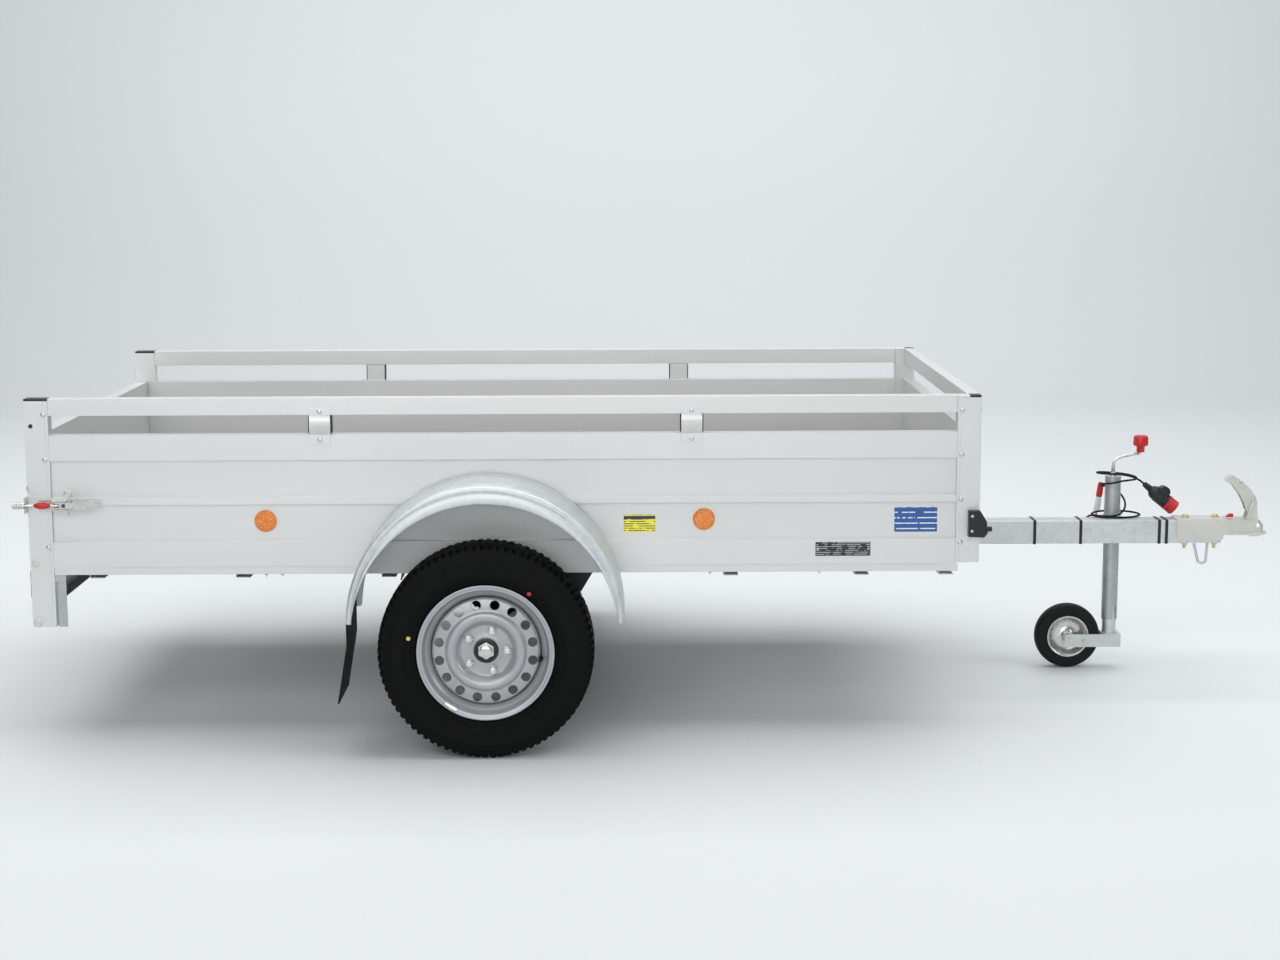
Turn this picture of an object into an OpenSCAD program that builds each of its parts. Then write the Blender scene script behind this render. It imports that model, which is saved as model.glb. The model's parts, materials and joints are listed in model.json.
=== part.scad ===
// Single-axle open box trailer: hollow-profile walls, raised rails, folding tailgate,
// rubber-sprung axle, jockey wheel and ball coupling.
// Millimetres. +X to the coupling, +Y to the left side, +Z up, the wheels stand on z = 0.
// Sizes along X are given from the wheel centre line and shifted to the middle at the end.

/* [Load box] */
// distance from the wheel centre to the rear face of the box
box_rear = 1248; // [1150:1:1350]
// distance from the wheel centre to the front face of the box
box_front = 1334; // [1250:1:1450]
// width of the box over the walls
box_width = 1410; // [1300:2:1500]
// height of the load floor above the ground
floor_top = 490; // [470:1:520]
// thickness of the floor board
floor_t = 12; // [9:1:18]
// height of the walls above the underside of the floor
wall_h = 362; // [300:1:420]
// thickness of the beams of a wall
wall_t = 40; // [30:1:50]
// thickness of the panels between the beams
panel_t = 30; // [22:1:36]
// height of the top beam and of the bottom beam
beam_h = 70; // [50:1:80]
// height of the middle rib
rib_h = 20; // [12:1:30]
// height of the middle rib's underside above the wall's lower edge
rib_z = 171; // [140:1:200]
// skin thickness of the wall profiles
skin = 1.6; // [1.2:0.1:2.5]
// width of the corner posts along the side
post_w = 64; // [50:1:70]
// wall thickness of the corner posts
post_skin = 2.5; // [2:0.5:4]

/* [Rails and tailgate] */
// clear gap between wall and rail
rail_gap = 53; // [40:1:80]
// height of the rail
rail_h = 47; // [30:1:55]
// position of the rear rail bracket
bracket_rear_x = -453; // [-600:1:-300]
// position of the front rail bracket
bracket_front_x = 551; // [400:1:700]
// width of a rail bracket
bracket_w = 57; // [40:1:70]
// thickness of the tailgate's beams
gate_t = 36; // [30:1:38]
// distance of the hinge bolts ahead of the rear face
hinge_in = 15; // [12:1:18]
// height of the hinge bolts
hinge_z = 490; // [488:1:494]
// shank radius of the hinge bolts
hinge_r = 4; // [3:0.5:5]
// radius of the hole in each rear post
post_hole_r = 6; // [4:0.5:8]

/* [Wheels and axle] */
// tyre radius
tyre_r = 287; // [270:1:300]
// tyre width
tyre_w = 156; // [145:1:165]
// distance of the tyre's mid-plane from the middle
track_half = 868; // [850:1:890]
// radius of the rim's flange
rim_r = 183; // [175:1:190]
// width over the rim's flanges
rim_w = 130; // [120:1:140]
// side length of the axle tube
axle_a = 60; // [50:1:70]
// distance of the axle tube ahead of the wheel centre
axle_x = 130; // [110:1:150]
// height of the axle tube's centre
axle_z = 375; // [360:1:380]
// outer radius of the mudguards
guard_r = 368; // [355:1:380]
// height of the mudguards' centre
guard_z = 367; // [355:1:380]
// sheet thickness of the mudguards
guard_t = 1.6; // [1.2:0.1:3]
// depth of the mudguard's outer lip at its top
guard_lip = 50; // [30:1:60]

/* [Drawbar and coupling] */
// side length of the drawbar tube
bar_a = 70; // [60:1:80]
// wall thickness of the drawbar tube
bar_t = 3; // [2:0.5:5]
// distance of the drawbar's front end ahead of the wheel centre
bar_front = 2180; // [2100:1:2250]
// distance of the ball socket's centre ahead of the wheel centre
ball_x = 2284; // [2250:1:2320]
// height of the ball socket's centre
ball_z = 444; // [435:1:455]
// radius of the ball socket
ball_r = 25.2; // [25:0.1:26]
// bar radius of the guide hoop
hoop_r = 4.2; // [3:0.1:6]

/* [Jockey wheel and cable] */
// distance of the jockey tube ahead of the wheel centre
jockey_x = 1872; // [1800:1:1900]
// distance of the jockey tube from the middle
jockey_y = 76; // [70:1:85]
// radius of the jockey tube
jockey_r = 24; // [20:0.5:30]
// height of the jockey tube's top
jockey_top = 598; // [560:1:620]
// height of the jockey tube's lower end
jockey_low = 152; // [145:1:165]
// radius of the jockey wheel
jockey_wheel_r = 100; // [90:1:110]
// distance of the jockey wheel's axle behind the tube
jockey_trail = 131; // [120:1:140]
// length of the crank
crank_arm = 82; // [70:1:95]
// radius of the supply cable
cable_r = 3; // [2.5:0.1:3.5]

/* [Hidden] */
$fn = 48;
eps = 1;                                  // overshoot of a cutting body
floor_bottom = floor_top - floor_t;
half_w = box_width / 2;
inner_w = half_w - wall_t;
wall_top = floor_bottom + wall_h;
rail_z = wall_top + rail_gap;
rail_top = rail_z + rail_h;
post_rear = -box_rear;
post_front = box_front;
wall_x0 = post_rear + post_w;
wall_x1 = post_front - post_w;
post_foot = 313;                          // lower end of the rear posts
cap_h = 6;                                // height of the caps on the posts
wheel_z = tyre_r;
// tailgate
gate_rear = post_rear + 3;
gate_front = gate_rear + gate_t;
gate_half = inner_w - 3;
gate_low = floor_bottom + 3;
gate_h = wall_top - gate_low;
hinge_x = post_rear + hinge_in;
ear_z = 652;                              // height of the latches
end_plate = 3;                            // thickness of the tailgate's end plates
// latches
latch_x = -1165;                          // lever pivot
latch_y = half_w + 17;
latch_throw = 10;                         // distance from lever pivot to hook pin
latch_rod_r = 4;
latch_root = 9;                           // half height of the lever's root
ear_t = 3;
pin_x = latch_x + 31;                    // safety pin
barrel_len = 33;
// coupling
bar_top = floor_bottom;
bar_low = bar_top - bar_a;
bar_mid = bar_top - bar_a / 2;
packer_l = 50;                            // half length of the packer on the axle tube
packer_w = 45;                            // half width of that packer
packer_t = 3;                             // its least thickness
packer_top = max(bar_low, axle_z + axle_a / 2 + packer_t);
sleeve_t = 4;
sleeve_x0 = bar_front - 135;              // U-shaped bracket over the drawbar
sleeve_x1 = bar_front + 7;
sleeve_low = 420;
brim_z = 433;                             // lower edge of the coupling head
brim_t = 6;
split_x = ball_x - 30;                    // where the ball cup joins the neck
nose_r = 33;
front_tip = ball_x + 42;
rear_tip = post_rear - ear_t - 0.6 - barrel_len;
mid_x = (front_tip + rear_tip) / 2;
handle_x = ball_x - 2;                    // pivot of the coupling handle
handle_z = ball_z + 56;
jaw_x = ball_x - 44;
jaw_z = ball_z + 18;
hoop_low = 336;                           // height of the guide hoop's lowest edge
// wheels
face_y = 30;                              // wheel disc's seat outside the tyre's mid-plane
// supply cable
plug_dip = 39;                            // angle of the plug below level
cable_lie = bar_top + cable_r;            // where it lies on the drawbar
cable_y = bar_a / 2 + cable_r + 0.2;      // where it runs along the drawbar's left face
// jockey wheel
jw_x = jockey_x - jockey_trail;
jw_z = jockey_wheel_r;
leg_r = jockey_r - 3.2;
crank_z = jockey_top + 61;

module put() { translate([-mid_x, 0, 0]) children(); }
module both() {
    children();
    mirror([0, 1, 0]) children();
}
module right() { mirror([0, 1, 0]) children(); }
module box(a, b) { translate(a) cube(b - a); }
module rod_y(x, z, y0, y1, r) { translate([x, y0, z]) rotate([-90, 0, 0]) cylinder(h = y1 - y0, r = r); }
module rod_x(y, z, x0, x1, r) { translate([x0, y, z]) rotate([0, 90, 0]) cylinder(h = x1 - x0, r = r); }
module rod_z(x, y, z0, z1, r) { translate([x, y, z0]) cylinder(h = z1 - z0, r = r); }
module dome(r, h) {
    rotate_extrude()
        polygon([[0, 0], [r, 0], [r, h * 0.35], [r * 0.8, h * 0.75], [r * 0.45, h * 0.96], [0, h]]);
}
// dome-headed bolt on a face that looks to +Y
module dome_y(x, y, z, r, h) { translate([x, y, z]) rotate([-90, 0, 0]) dome(r, h); }
module dome_x(x, y, z, r, h) { translate([x, y, z]) rotate([0, 90, 0]) dome(r, h); }
module hex_y(x, y, z, r, h) {
    translate([x, y, z]) rotate([-90, 0, 0]) cylinder(h = h, r = r, $fn = 6);
}

// section of a wall: t runs outwards from the inner face, z up from the lower edge
module wall_section(beam_t, pan_t, h) {
    top0 = h - beam_h;
    difference() {
        union() {
            square([pan_t, h]);
            square([beam_t, beam_h]);
            translate([0, rib_z]) square([beam_t, rib_h]);
            translate([0, top0]) square([beam_t, beam_h]);
        }
        translate([skin, skin]) square([beam_t - 2 * skin, beam_h - 2 * skin]);
        translate([skin, beam_h]) square([pan_t - 2 * skin, rib_z - beam_h]);
        translate([skin, rib_z + skin]) square([beam_t - 2 * skin, rib_h - 2 * skin]);
        translate([skin, rib_z + rib_h]) square([pan_t - 2 * skin, top0 - rib_z - rib_h]);
        translate([skin, top0 + skin]) square([beam_t - 2 * skin, beam_h - 2 * skin]);
    }
}
module tube_section(w, h, t) {
    difference() {
        square([w, h]);
        translate([t, t]) square([w - 2 * t, h - 2 * t]);
    }
}

module floor_board() {
    color("saddlebrown") put()
        box([gate_front + 4, -inner_w, floor_bottom], [box_front - gate_t, inner_w, floor_top]);
}
module side_walls() {
    color("silver") put() both()
        translate([wall_x0, inner_w, floor_bottom]) rotate([90, 0, 90])
            linear_extrude(wall_x1 - wall_x0) wall_section(wall_t, panel_t, wall_h);
}
module front_wall() {
    color("silver") put()
        translate([box_front - gate_t, inner_w, floor_bottom]) rotate([90, 0, 0])
            linear_extrude(2 * inner_w) wall_section(gate_t, panel_t - 3, wall_h);
}
module rear_posts() {
    color("silver") put() both() difference() {
        box([post_rear, inner_w, post_foot], [wall_x0, half_w, rail_top - cap_h]);
        box([post_rear + post_skin, inner_w + post_skin, post_foot - eps],
            [wall_x0 - post_skin, half_w - post_skin, rail_top + eps]);
        rod_y(hinge_x, hinge_z, inner_w - eps, half_w + eps, hinge_r + 0.3);
        rod_y(post_rear + 17, rail_z - 27, half_w - post_skin - eps, half_w + eps, post_hole_r);
    }
}
module front_posts() {
    color("silver") put() both() difference() {
        box([wall_x1, inner_w, floor_bottom + 3], [post_front, half_w, rail_top - cap_h]);
        box([wall_x1 + post_skin, inner_w + post_skin, floor_bottom],
            [post_front - post_skin, half_w - post_skin, rail_top + eps]);
    }
}
module post_caps() {
    color("black") put() both() {
        box([post_rear, inner_w, rail_top - cap_h], [wall_x0, half_w, rail_top]);
        box([wall_x1, inner_w, rail_top - cap_h], [post_front, half_w, rail_top]);
    }
}
module side_rails() {
    color("silver") put() both()
        translate([wall_x0, inner_w + 2, rail_z]) rotate([90, 0, 90])
            linear_extrude(wall_x1 - wall_x0) tube_section(wall_t - 4, rail_h, 2);
}
module front_rail() {
    color("silver") put()
        translate([box_front - gate_t + 2, inner_w, rail_z]) rotate([90, 0, 0])
            linear_extrude(2 * inner_w) tube_section(gate_t - 4, rail_h, 2);
}
module rail_brackets() {
    plate_y = half_w - 2;
    color("gainsboro") put() both() for (x = [bracket_rear_x, bracket_front_x]) {
        box([x - bracket_w / 2, plate_y, rail_z], [x + bracket_w / 2, plate_y + 3, rail_z + 17]);
        box([x - bracket_w / 2, half_w, wall_top - 26], [x + bracket_w / 2, half_w + 3, wall_top]);
        difference() {
            box([x - bracket_w / 2, inner_w + 4, wall_top], [x + bracket_w / 2, half_w, rail_z]);
            box([x - bracket_w, inner_w + 7, wall_top + 3], [x + bracket_w, half_w - 3, rail_z - 3]);
        }
    }
}
module bracket_caps() {
    color("black") put() both() for (x = [bracket_rear_x, bracket_front_x]) for (s = [-1, 1])
        box([x + s * bracket_w / 2 - 3, inner_w + 7, wall_top + 3],
            [x + s * bracket_w / 2 + 3, half_w - 3, rail_z - 3]);
}
module body_bolts() {
    post_bolt_x = wall_x0 - 12;
    front_bolt_x = wall_x1 + 13;
    color("lightgray") put() both() {
        for (z = [897, 774, 534]) dome_y(post_bolt_x, half_w, z, 7, 4);
        for (z = [900, 778, 656, 537]) dome_y(front_bolt_x, half_w, z, 7, 4);
        for (z = [900, 778, 656]) dome_x(box_front, inner_w + 20, z, 7, 4);
        // hinge bolt of the tailgate with its flanged head
        rod_y(hinge_x, hinge_z, gate_half - end_plate - 6, half_w, hinge_r);
        rod_y(hinge_x, hinge_z, half_w, half_w + 2, 11);
        hex_y(hinge_x, half_w + 2, hinge_z, 9, 6);
        // lower bolt of the rear post
        rod_y(hinge_x, post_foot + 13, half_w, half_w + 2, 11);
        hex_y(hinge_x, half_w + 2, post_foot + 13, 9, 6);
        for (x = [bracket_rear_x, bracket_front_x]) {
            dome_y(x, half_w + 3, wall_top - 14, 6.5, 4);
            dome_y(x, half_w + 1, rail_z + 9, 6.5, 4);
        }
        for (x = [-1139, -175, 220]) translate([x, inner_w, 668]) rotate([90, 0, 0]) dome(5, 3);
    }
}
module sills() {
    color("lightsteelblue") put() both() {
        box([wall_x0, half_w - 6, floor_bottom - 21], [wall_x1 + 8, half_w - 3, floor_bottom]);
        box([wall_x0, inner_w - 10, floor_bottom - 21], [wall_x1 + 8, half_w - 6, floor_bottom - 18]);
    }
}
module crossmembers() {
    member_w = 40;
    color("lightsteelblue") put() {
        for (x = [-1100, -700, -300, 640, 1000, 1232]) both() difference() {
            box([x, x > -200 ? bar_a / 2 : 0, bar_top - 40], [x + member_w, inner_w - 10, bar_top]);
            box([x + 2.5, -eps, bar_top - 37.5], [x + member_w + eps, inner_w, bar_top - 2.5]);
        }
    }
}
module light_beam() {
    beam_top = 472;
    beam_low = 355;
    color("gainsboro") put() {
        difference() {
            box([post_rear + 3, -inner_w, beam_low], [post_rear + 40, inner_w, beam_top]);
            box([post_rear + 5, -inner_w - eps, beam_low + 2],
                [post_rear + 40 + eps, inner_w + eps, beam_top - 2]);
        }
        both() difference() {
            box([wall_x0, half_w - 6, post_foot], [wall_x0 + 30, half_w - 3, floor_bottom - 21]);
            box([wall_x0 - eps, half_w - 9, post_foot - eps], [wall_x0 + 6, half_w, floor_bottom - 40]);
        }
    }
}
module rear_lamps() {
    color("red") put() both()
        box([post_rear - 30, inner_w - 265, 368], [post_rear + 3, inner_w - 55, 455]);
}
module plate_holder() {
    color("white") put() box([post_rear - 3, -260, 345], [post_rear + 3, 260, 460]);
}
module drawbar() {
    color("gainsboro") put() difference() {
        translate([-150, -bar_a / 2, bar_low]) rotate([90, 0, 90])
            linear_extrude(bar_front + 150) tube_section(bar_a, bar_a, bar_t);
        // saddle for the axle's packer, where the tube is deeper than the room above the axle
        if (packer_top > bar_low)
            box([axle_x - packer_l, -packer_w, bar_low - eps], [axle_x + packer_l, packer_w, packer_top]);
    }
}
module axle_beam() {
    half = 735;
    color("gainsboro") put() difference() {
        box([axle_x - axle_a / 2, -half, axle_z - axle_a / 2],
            [axle_x + axle_a / 2, half, axle_z + axle_a / 2]);
        box([axle_x - axle_a / 2 + 4, -half - eps, axle_z - axle_a / 2 + 4],
            [axle_x + axle_a / 2 - 4, half + eps, axle_z + axle_a / 2 - 4]);
    }
}
module axle_brackets() {
    top = floor_bottom - 21;
    color("dimgray") put() both() {
        difference() {
            translate([0, half_w - 9, 0]) rotate([90, 0, 0]) linear_extrude(5)
                polygon([[-30, top], [281, top], [250, 405], [180, 340], [80, 340], [0, 405]]);
            box([axle_x - axle_a / 2, half_w - 20, axle_z - axle_a / 2],
                [axle_x + axle_a / 2, half_w, axle_z + axle_a / 2]);
        }
    }
    // packer between axle tube and drawbar
    color("dimgray") put()
        box([axle_x - packer_l, -packer_w, axle_z + axle_a / 2], [axle_x + packer_l, packer_w, packer_top]);
}
// bracket, neck and ball cup as one shape
module coupling_pressing() {
    w = bar_a / 2 + sleeve_t;
    neck_top = bar_top + sleeve_t - 4;
    difference() {
        union() {
            // bracket over the drawbar
            box([sleeve_x0, -w, sleeve_low], [sleeve_x1, w, bar_top + sleeve_t]);
            // neck
            translate([0, 0, brim_z]) linear_extrude(neck_top - brim_z)
                polygon([[sleeve_x1, -w], [ball_x, -nose_r], [ball_x, nose_r], [sleeve_x1, w]]);
            // cup
            rod_z(ball_x, 0, brim_z, ball_z + 3, nose_r);
            translate([ball_x, 0, ball_z + 3]) sphere(r = nose_r);
            // brim
            rod_z(ball_x, 0, brim_z, brim_z + brim_t, front_tip - ball_x);
            translate([0, 0, brim_z]) linear_extrude(brim_t)
                polygon([[sleeve_x1 + 20, -w - 3], [ball_x, -42], [ball_x, 42], [sleeve_x1 + 20, w + 3]]);
            // pin and ears of the handle
            rod_y(handle_x, handle_z, -23, 23, 4);
            for (s = [-1, 1]) translate([0, s * 19 + 2.5, 0]) rotate([90, 0, 0]) linear_extrude(5)
                polygon([[handle_x - 26, ball_z + 22], [handle_x + 14, ball_z + 20],
                    [handle_x + 11, handle_z + 4], [handle_x - 6, handle_z + 10], [handle_x - 16, handle_z]]);
        }
        // room for the drawbar
        box([sleeve_x0 - eps, -bar_a / 2, bar_low - 10], [bar_front + 2, bar_a / 2, bar_top]);
        // hollow of the bracket's front and of the neck
        box([bar_front, -bar_a / 2, bar_low - 10], [sleeve_x1 + 20, bar_a / 2, bar_top - 2]);
        translate([0, 0, bar_low]) linear_extrude(bar_a - 8)
            polygon([[sleeve_x1, -w + 5], [ball_x - 14, -nose_r + 8], [ball_x - 14, nose_r - 8],
                [sleeve_x1, w - 5]]);
        // ball socket, open below
        translate([ball_x, 0, ball_z]) sphere(r = ball_r);
        rod_z(ball_x, 0, bar_low, ball_z, ball_r);
    }
}
module coupling_body() {
    color("silver") put() {
        difference() {
            coupling_pressing();
            box([split_x, -nose_r - 40, bar_low - 10], [front_tip + eps, nose_r + 40, handle_z + 40]);
        }
        // pin of the jaw
        rod_y(jaw_x, jaw_z, -32, 32, 4);
    }
}
module coupling_head() {
    color("silver") put() difference() {
        coupling_pressing();
        box([sleeve_x0 - eps, -nose_r - 40, bar_low - 10], [split_x, nose_r + 40, handle_z + 40]);
    }
}
module coupling_bolts() {
    color("goldenrod") put() for (x = [sleeve_x0 + 35, sleeve_x0 + 123]) {
        translate([x, 0, bar_top + sleeve_t]) cylinder(h = 8, r = 9.5, $fn = 6);
        translate([x, 0, bar_low - 8]) cylinder(h = 8, r = 9.5, $fn = 6);
        rod_z(x, 0, bar_low - 22, bar_low - 8, 5);
    }
}
// flat bar bent to a U and welded under the drawbar
module guide_hoop() {
    color("gainsboro") put() translate([bar_front, hoop_r, 0]) rotate([90, 0, 0]) linear_extrude(2 * hoop_r)
        difference() {
            polygon([[-78, bar_low], [-61, hoop_low], [-30, hoop_low], [-26, bar_low]]);
            polygon([[-69.5, bar_low + eps], [-52.5, hoop_low + 2 * hoop_r], [-38.4, hoop_low + 2 * hoop_r],
                [-34.5, bar_low + eps]]);
        }
}
module mudguards() {
    y0 = half_w;
    y1 = 946;
    cut = guard_r * guard_r / (guard_r - guard_lip);
    lip_r = (cut + guard_r - guard_lip) / 2;
    lip_d = lip_r - guard_r + guard_lip;
    color("gainsboro") put() both() {
        difference() {
            union() {
                translate([0, y1, guard_z]) rotate([90, 0, 0]) rotate_extrude(angle = 180)
                    polygon([[guard_r - guard_t, 0], [guard_r - guard_t, y1 - y0],
                        [guard_r, y1 - y0], [guard_r, 0]]);
                translate([0, y1, guard_z]) rotate([90, 0, 0]) linear_extrude(guard_t) difference() {
                    circle(r = guard_r, $fn = 96);
                    translate([0, -lip_d]) circle(r = lip_r, $fn = 96);
                    translate([-2 * guard_r, -4 * guard_r]) square([4 * guard_r, 4 * guard_r]);
                }
                // inner flange on the wall
                translate([0, y0 + guard_t, guard_z]) rotate([90, 0, 0]) rotate_extrude(angle = 180)
                    polygon([[guard_r - 20, 0], [guard_r - 20, guard_t], [guard_r, guard_t], [guard_r, 0]]);
            }
            // feet cut level
            box([-500, y0 - eps, guard_z - 100], [500, y1 + eps, guard_z]);
        }
    }
}
module mud_flaps() {
    flap_x = -guard_r + guard_t + 0.8;
    color("black") put() both()
        translate([0, 936, 0]) rotate([90, 0, 0]) linear_extrude(210)
            polygon([[flap_x, guard_z + 22], [flap_x + 4, guard_z + 22], [flap_x + 4, guard_z - 60],
                [flap_x - 22, 152], [flap_x - 26, 152], [flap_x, guard_z - 60]]);
}
module reflectors() {
    face = inner_w + panel_t;
    color("orange") put() both() for (x = [-607, 584]) {
        rod_y(x, 603, face, face + 5, 30);
        rod_y(x, 603, face + 5, face + 7.5, 27);
    }
}
module marker_lamps() {
    color("black") put() both() {
        translate([0, half_w + 22, 0]) rotate([90, 0, 0]) linear_extrude(22)
            polygon([[1302, 555], [1302, 626], [1333, 626], [1351, 597], [1354, 565], [1344, 553]]);
        rod_x(half_w + 11, 575, 1340, 1366, 7);
    }
}
module type_plate() {
    color("black") put() right()
        box([888, half_w, 501], [1038, half_w + 1.2, 539]);
}
module jockey_clamp() {
    z0 = bar_top - 46;
    z1 = bar_top;
    y0 = bar_a / 2;
    color("gainsboro") put() {
        difference() {
            union() {
                rod_z(jockey_x, jockey_y, z0, z1, jockey_r + 5);
                box([jockey_x - 45, y0, z0], [jockey_x + 45, y0 + 6, z1]);
                box([jockey_x - 22, y0, z0], [jockey_x + 22, jockey_y, z1]);
                // ears of the split
                box([jockey_x - jockey_r - 22, jockey_y - 8, z0 + 4], [jockey_x - 10, jockey_y + 8, z1 - 4]);
            }
            rod_z(jockey_x, jockey_y, z0 - eps, z1 + eps, jockey_r + 0.08);
            box([jockey_x - jockey_r - 40, jockey_y - 2, z0 - eps], [jockey_x, jockey_y + 2, z1 + eps]);
            rod_y(jockey_x - jockey_r - 14, bar_top - 23, jockey_y - 20, jockey_y + 20, 4.06);
        }
    }
}
module clamp_handle() {
    x = jockey_x - jockey_r - 14;
    z = bar_top - 23;
    y = jockey_y + 48;
    color("red") put() {
        rod_y(x, z, jockey_y - 14, y + 6, 4);
        rod_z(x, y, z + 3, z + 30, 4);
        translate([x, y, z + 30]) rotate([0, 8, 0]) cylinder(h = 42, r1 = 6, r2 = 7);
        translate([x, y, z + 30]) rotate([0, 8, 0]) translate([0, 0, 42]) cylinder(h = 46, r1 = 8, r2 = 10);
    }
}
module cable_straps() {
    t = 1.4;
    color("black") put() for (x = [1609, 1749, 1988, 2010])
        let (y1 = bar_a / 2 + (x < 1800 ? 2 * cable_r + 1 : 0))
        difference() {
            box([x, -bar_a / 2 - t, bar_low - t], [x + 9, y1 + t, bar_top + t]);
            box([x - eps, -bar_a / 2, bar_low], [x + 9 + eps, y1, bar_top]);
        }
}

// supply cable: a smooth sweep along hand-placed points
route = [[1234.5, cable_y, 446], [1420, cable_y, 446], [1600, cable_y, 446], [1720, cable_y, 446],
    [1750, cable_y, 446], [1768, cable_y + 0.4, 456], [1780, cable_y + 0.8, 470], [1790, cable_y + 0.4, 479],
    [1799, 34, 483.5], [1812, 24, 482], [1835, 10, cable_lie], [1870, 4, cable_lie], [1905, 8, cable_lie],
    [1934, 22, cable_lie + 1], [1950, 46, cable_lie + 2], [1944, 76, cable_lie + 3],
    [1918, 99, cable_lie + 4], [1880, 107, cable_lie + 4], [1842, 102, cable_lie + 4],
    [1816, 82, cable_lie + 3], [1806, 56, cable_lie + 2], [1818, 36, cable_lie + 1],
    [1848, 30, cable_lie], [1880, 32, cable_lie + 3], [1902, 45, 500], [1909, 70, 520], [1900, 96, 540],
    [1874, 106, 555], [1846, 101, 566], [1834, 78, 573], [1840, 50, 578], [1862, 38, 582],
    [1888, 35, 588], [1914, 38, 591], [1936, 52, 592], [1942, 80, 595], [1922, 105, 599],
    [1888, 118, 602], [1852, 114, 605], [1828, 94, 608], [1822, 66, 610], [1836, 42, 611],
    [1862, 32, 611], [1892, 30, 609], [1922, 31, 602], [1943, 32, 592], [1957, 32, 581]];
steps = len(route) - 1;
function catmull(a, b, c, d, t) = 0.5 * ((2 * b) + (c - a) * t + (2 * a - 5 * b + 4 * c - d) * t * t
    + (3 * b - a - 3 * c + d) * t * t * t);
function at(i) = route[max(0, min(steps, i))];
function path() = concat([route[0], route[1], route[2]],
    [for (i = [3:steps - 1]) for (t = [0, 0.5]) catmull(at(i - 1), at(i), at(i + 1), at(i + 2), t)],
    [route[steps]]);
line = path();
rings = len(line);
function unit(v) = v / norm(v);
function heading(i) = i == 0 ? [1, 0, 0] : i == rings - 1 ? plug_axis : unit(line[i + 1] - line[i - 1]);
function carry(i) = i == 0 ? [0, 0, 1] : let (u = carry(i - 1), h = heading(i)) unit(u - (u * h) * h);
plug_axis = [cos(plug_dip), 0, -sin(plug_dip)];
module supply_cable() {
    sides = 8;
    points = [for (i = [0:rings - 1]) let (h = heading(i), u = carry(i), w = cross(h, u))
        for (k = [0:sides - 1]) line[i] + cable_r * (cos(360 * k / sides) * u + sin(360 * k / sides) * w)];
    faces = concat([[for (k = [0:sides - 1]) k]],
        [for (i = [0:rings - 2]) for (k = [0:sides - 1])
            let (n = (k + 1) % sides, a = i * sides, b = a + sides)
            each [[a + n, a + k, b + k], [a + n, b + k, b + n]]],
        [[for (k = [sides - 1:-1:0]) (rings - 1) * sides + k]]);
    color("black") put() polyhedron(points = points, faces = faces);
}
module at_plug() { translate(route[steps]) rotate([0, 90 + plug_dip, 0]) children(); }
module plug_body() {
    color("black") put() at_plug() {
        cylinder(h = 26, r = 9);
        for (z = [4, 10, 16, 22]) translate([0, 0, z]) cylinder(h = 3, r = 10.5);
        translate([0, 0, 26]) cylinder(h = 12, r1 = 10, r2 = 20);
        translate([0, 0, 38]) cylinder(h = 42, r = 21);
        translate([0, 0, 80]) cylinder(h = 8, r = 22.5);
        // hinge housing of the lid
        translate([-20, 14, 62]) rotate([90, 0, 0]) cylinder(h = 34, r = 17);
    }
}
module plug_ring() {
    color("red") put() at_plug() translate([0, 0, 88]) difference() {
        cylinder(h = 34, r = 23.5);
        translate([0, 0, 4]) cylinder(h = 34, r = 20.5);
    }
}

// latch on the left side; the right one is its mirror image
module latch_brackets() {
    z0 = ear_z - latch_root - 1;
    z1 = ear_z + latch_root + 1;
    color("gainsboro") put() both() {
        difference() {
            union() {
                box([-1219, half_w, z0 - 4], [-1126, half_w + 3, z1 + 4]);
                for (z = [z0 - 3, z1]) box([-1178, half_w + 3, z], [-1126, latch_y + 7, z + 3]);
            }
            // notch that the safety pin swings out of
            box([pin_x - 6, latch_y - 4, z0 - 10], [pin_x + 3.2, latch_y + 20, z1 + 10]);
        }
        // stub pins of the lever, clear of the rod between them
        rod_z(latch_x, latch_y, z0 - 5, ear_z - 5.2, 3);
        rod_z(latch_x, latch_y, ear_z + 5.2, z1 + 5, 3);
    }
}
module lever() {
    color("gainsboro") {
        difference() {
            union() {
                box([latch_x - 5, latch_y - 6, ear_z - latch_root],
                    [latch_x + 42, latch_y + 6, ear_z + latch_root]);
                rod_z(latch_x - 2, latch_y, ear_z - latch_root, ear_z + latch_root, 6.5);
                translate([0, latch_y + 6, ear_z]) rotate([90, 0, 0]) linear_extrude(4)
                    polygon([[latch_x + 36, -8], [latch_x + 42, -8], [latch_x + 44, -15], [latch_x + 62, -13],
                        [latch_x + 112, -2], [latch_x + 118, 5], [latch_x + 112, 11], [latch_x + 62, 14],
                        [latch_x + 44, 14], [latch_x + 42, 8], [latch_x + 36, 8]]);
            }
            rod_z(latch_x, latch_y, ear_z - 20, ear_z + 20, 3.05);
            rod_z(pin_x, latch_y, ear_z - 20, ear_z + 20, 2.6);
            // slot that the hook's eye lies in
            box([latch_x - 20, latch_y - 10, ear_z - 5], [latch_x + 24, latch_y + 10, ear_z + 5]);
        }
        // pin of the hook
        rod_z(latch_x + latch_throw, latch_y, ear_z - 6, ear_z + 6, 2.5);
    }
}
module hook() {
    x0 = post_rear - ear_t - 0.6;
    x1 = latch_x + latch_throw;
    color("silver") difference() {
        union() {
            rod_z(x1, latch_y, ear_z - 4.8, ear_z + 4.8, 6);
            rod_x(latch_y, ear_z, x0, x1 - 4, latch_rod_r);
            rod_x(latch_y, ear_z, x0 + 30, x0 + 62, latch_rod_r + 2.5);
            rod_x(latch_y, ear_z, x0 - barrel_len, x0, 9.5);
        }
        rod_z(x1, latch_y, ear_z - 10, ear_z + 10, 2.55);
    }
}
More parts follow.
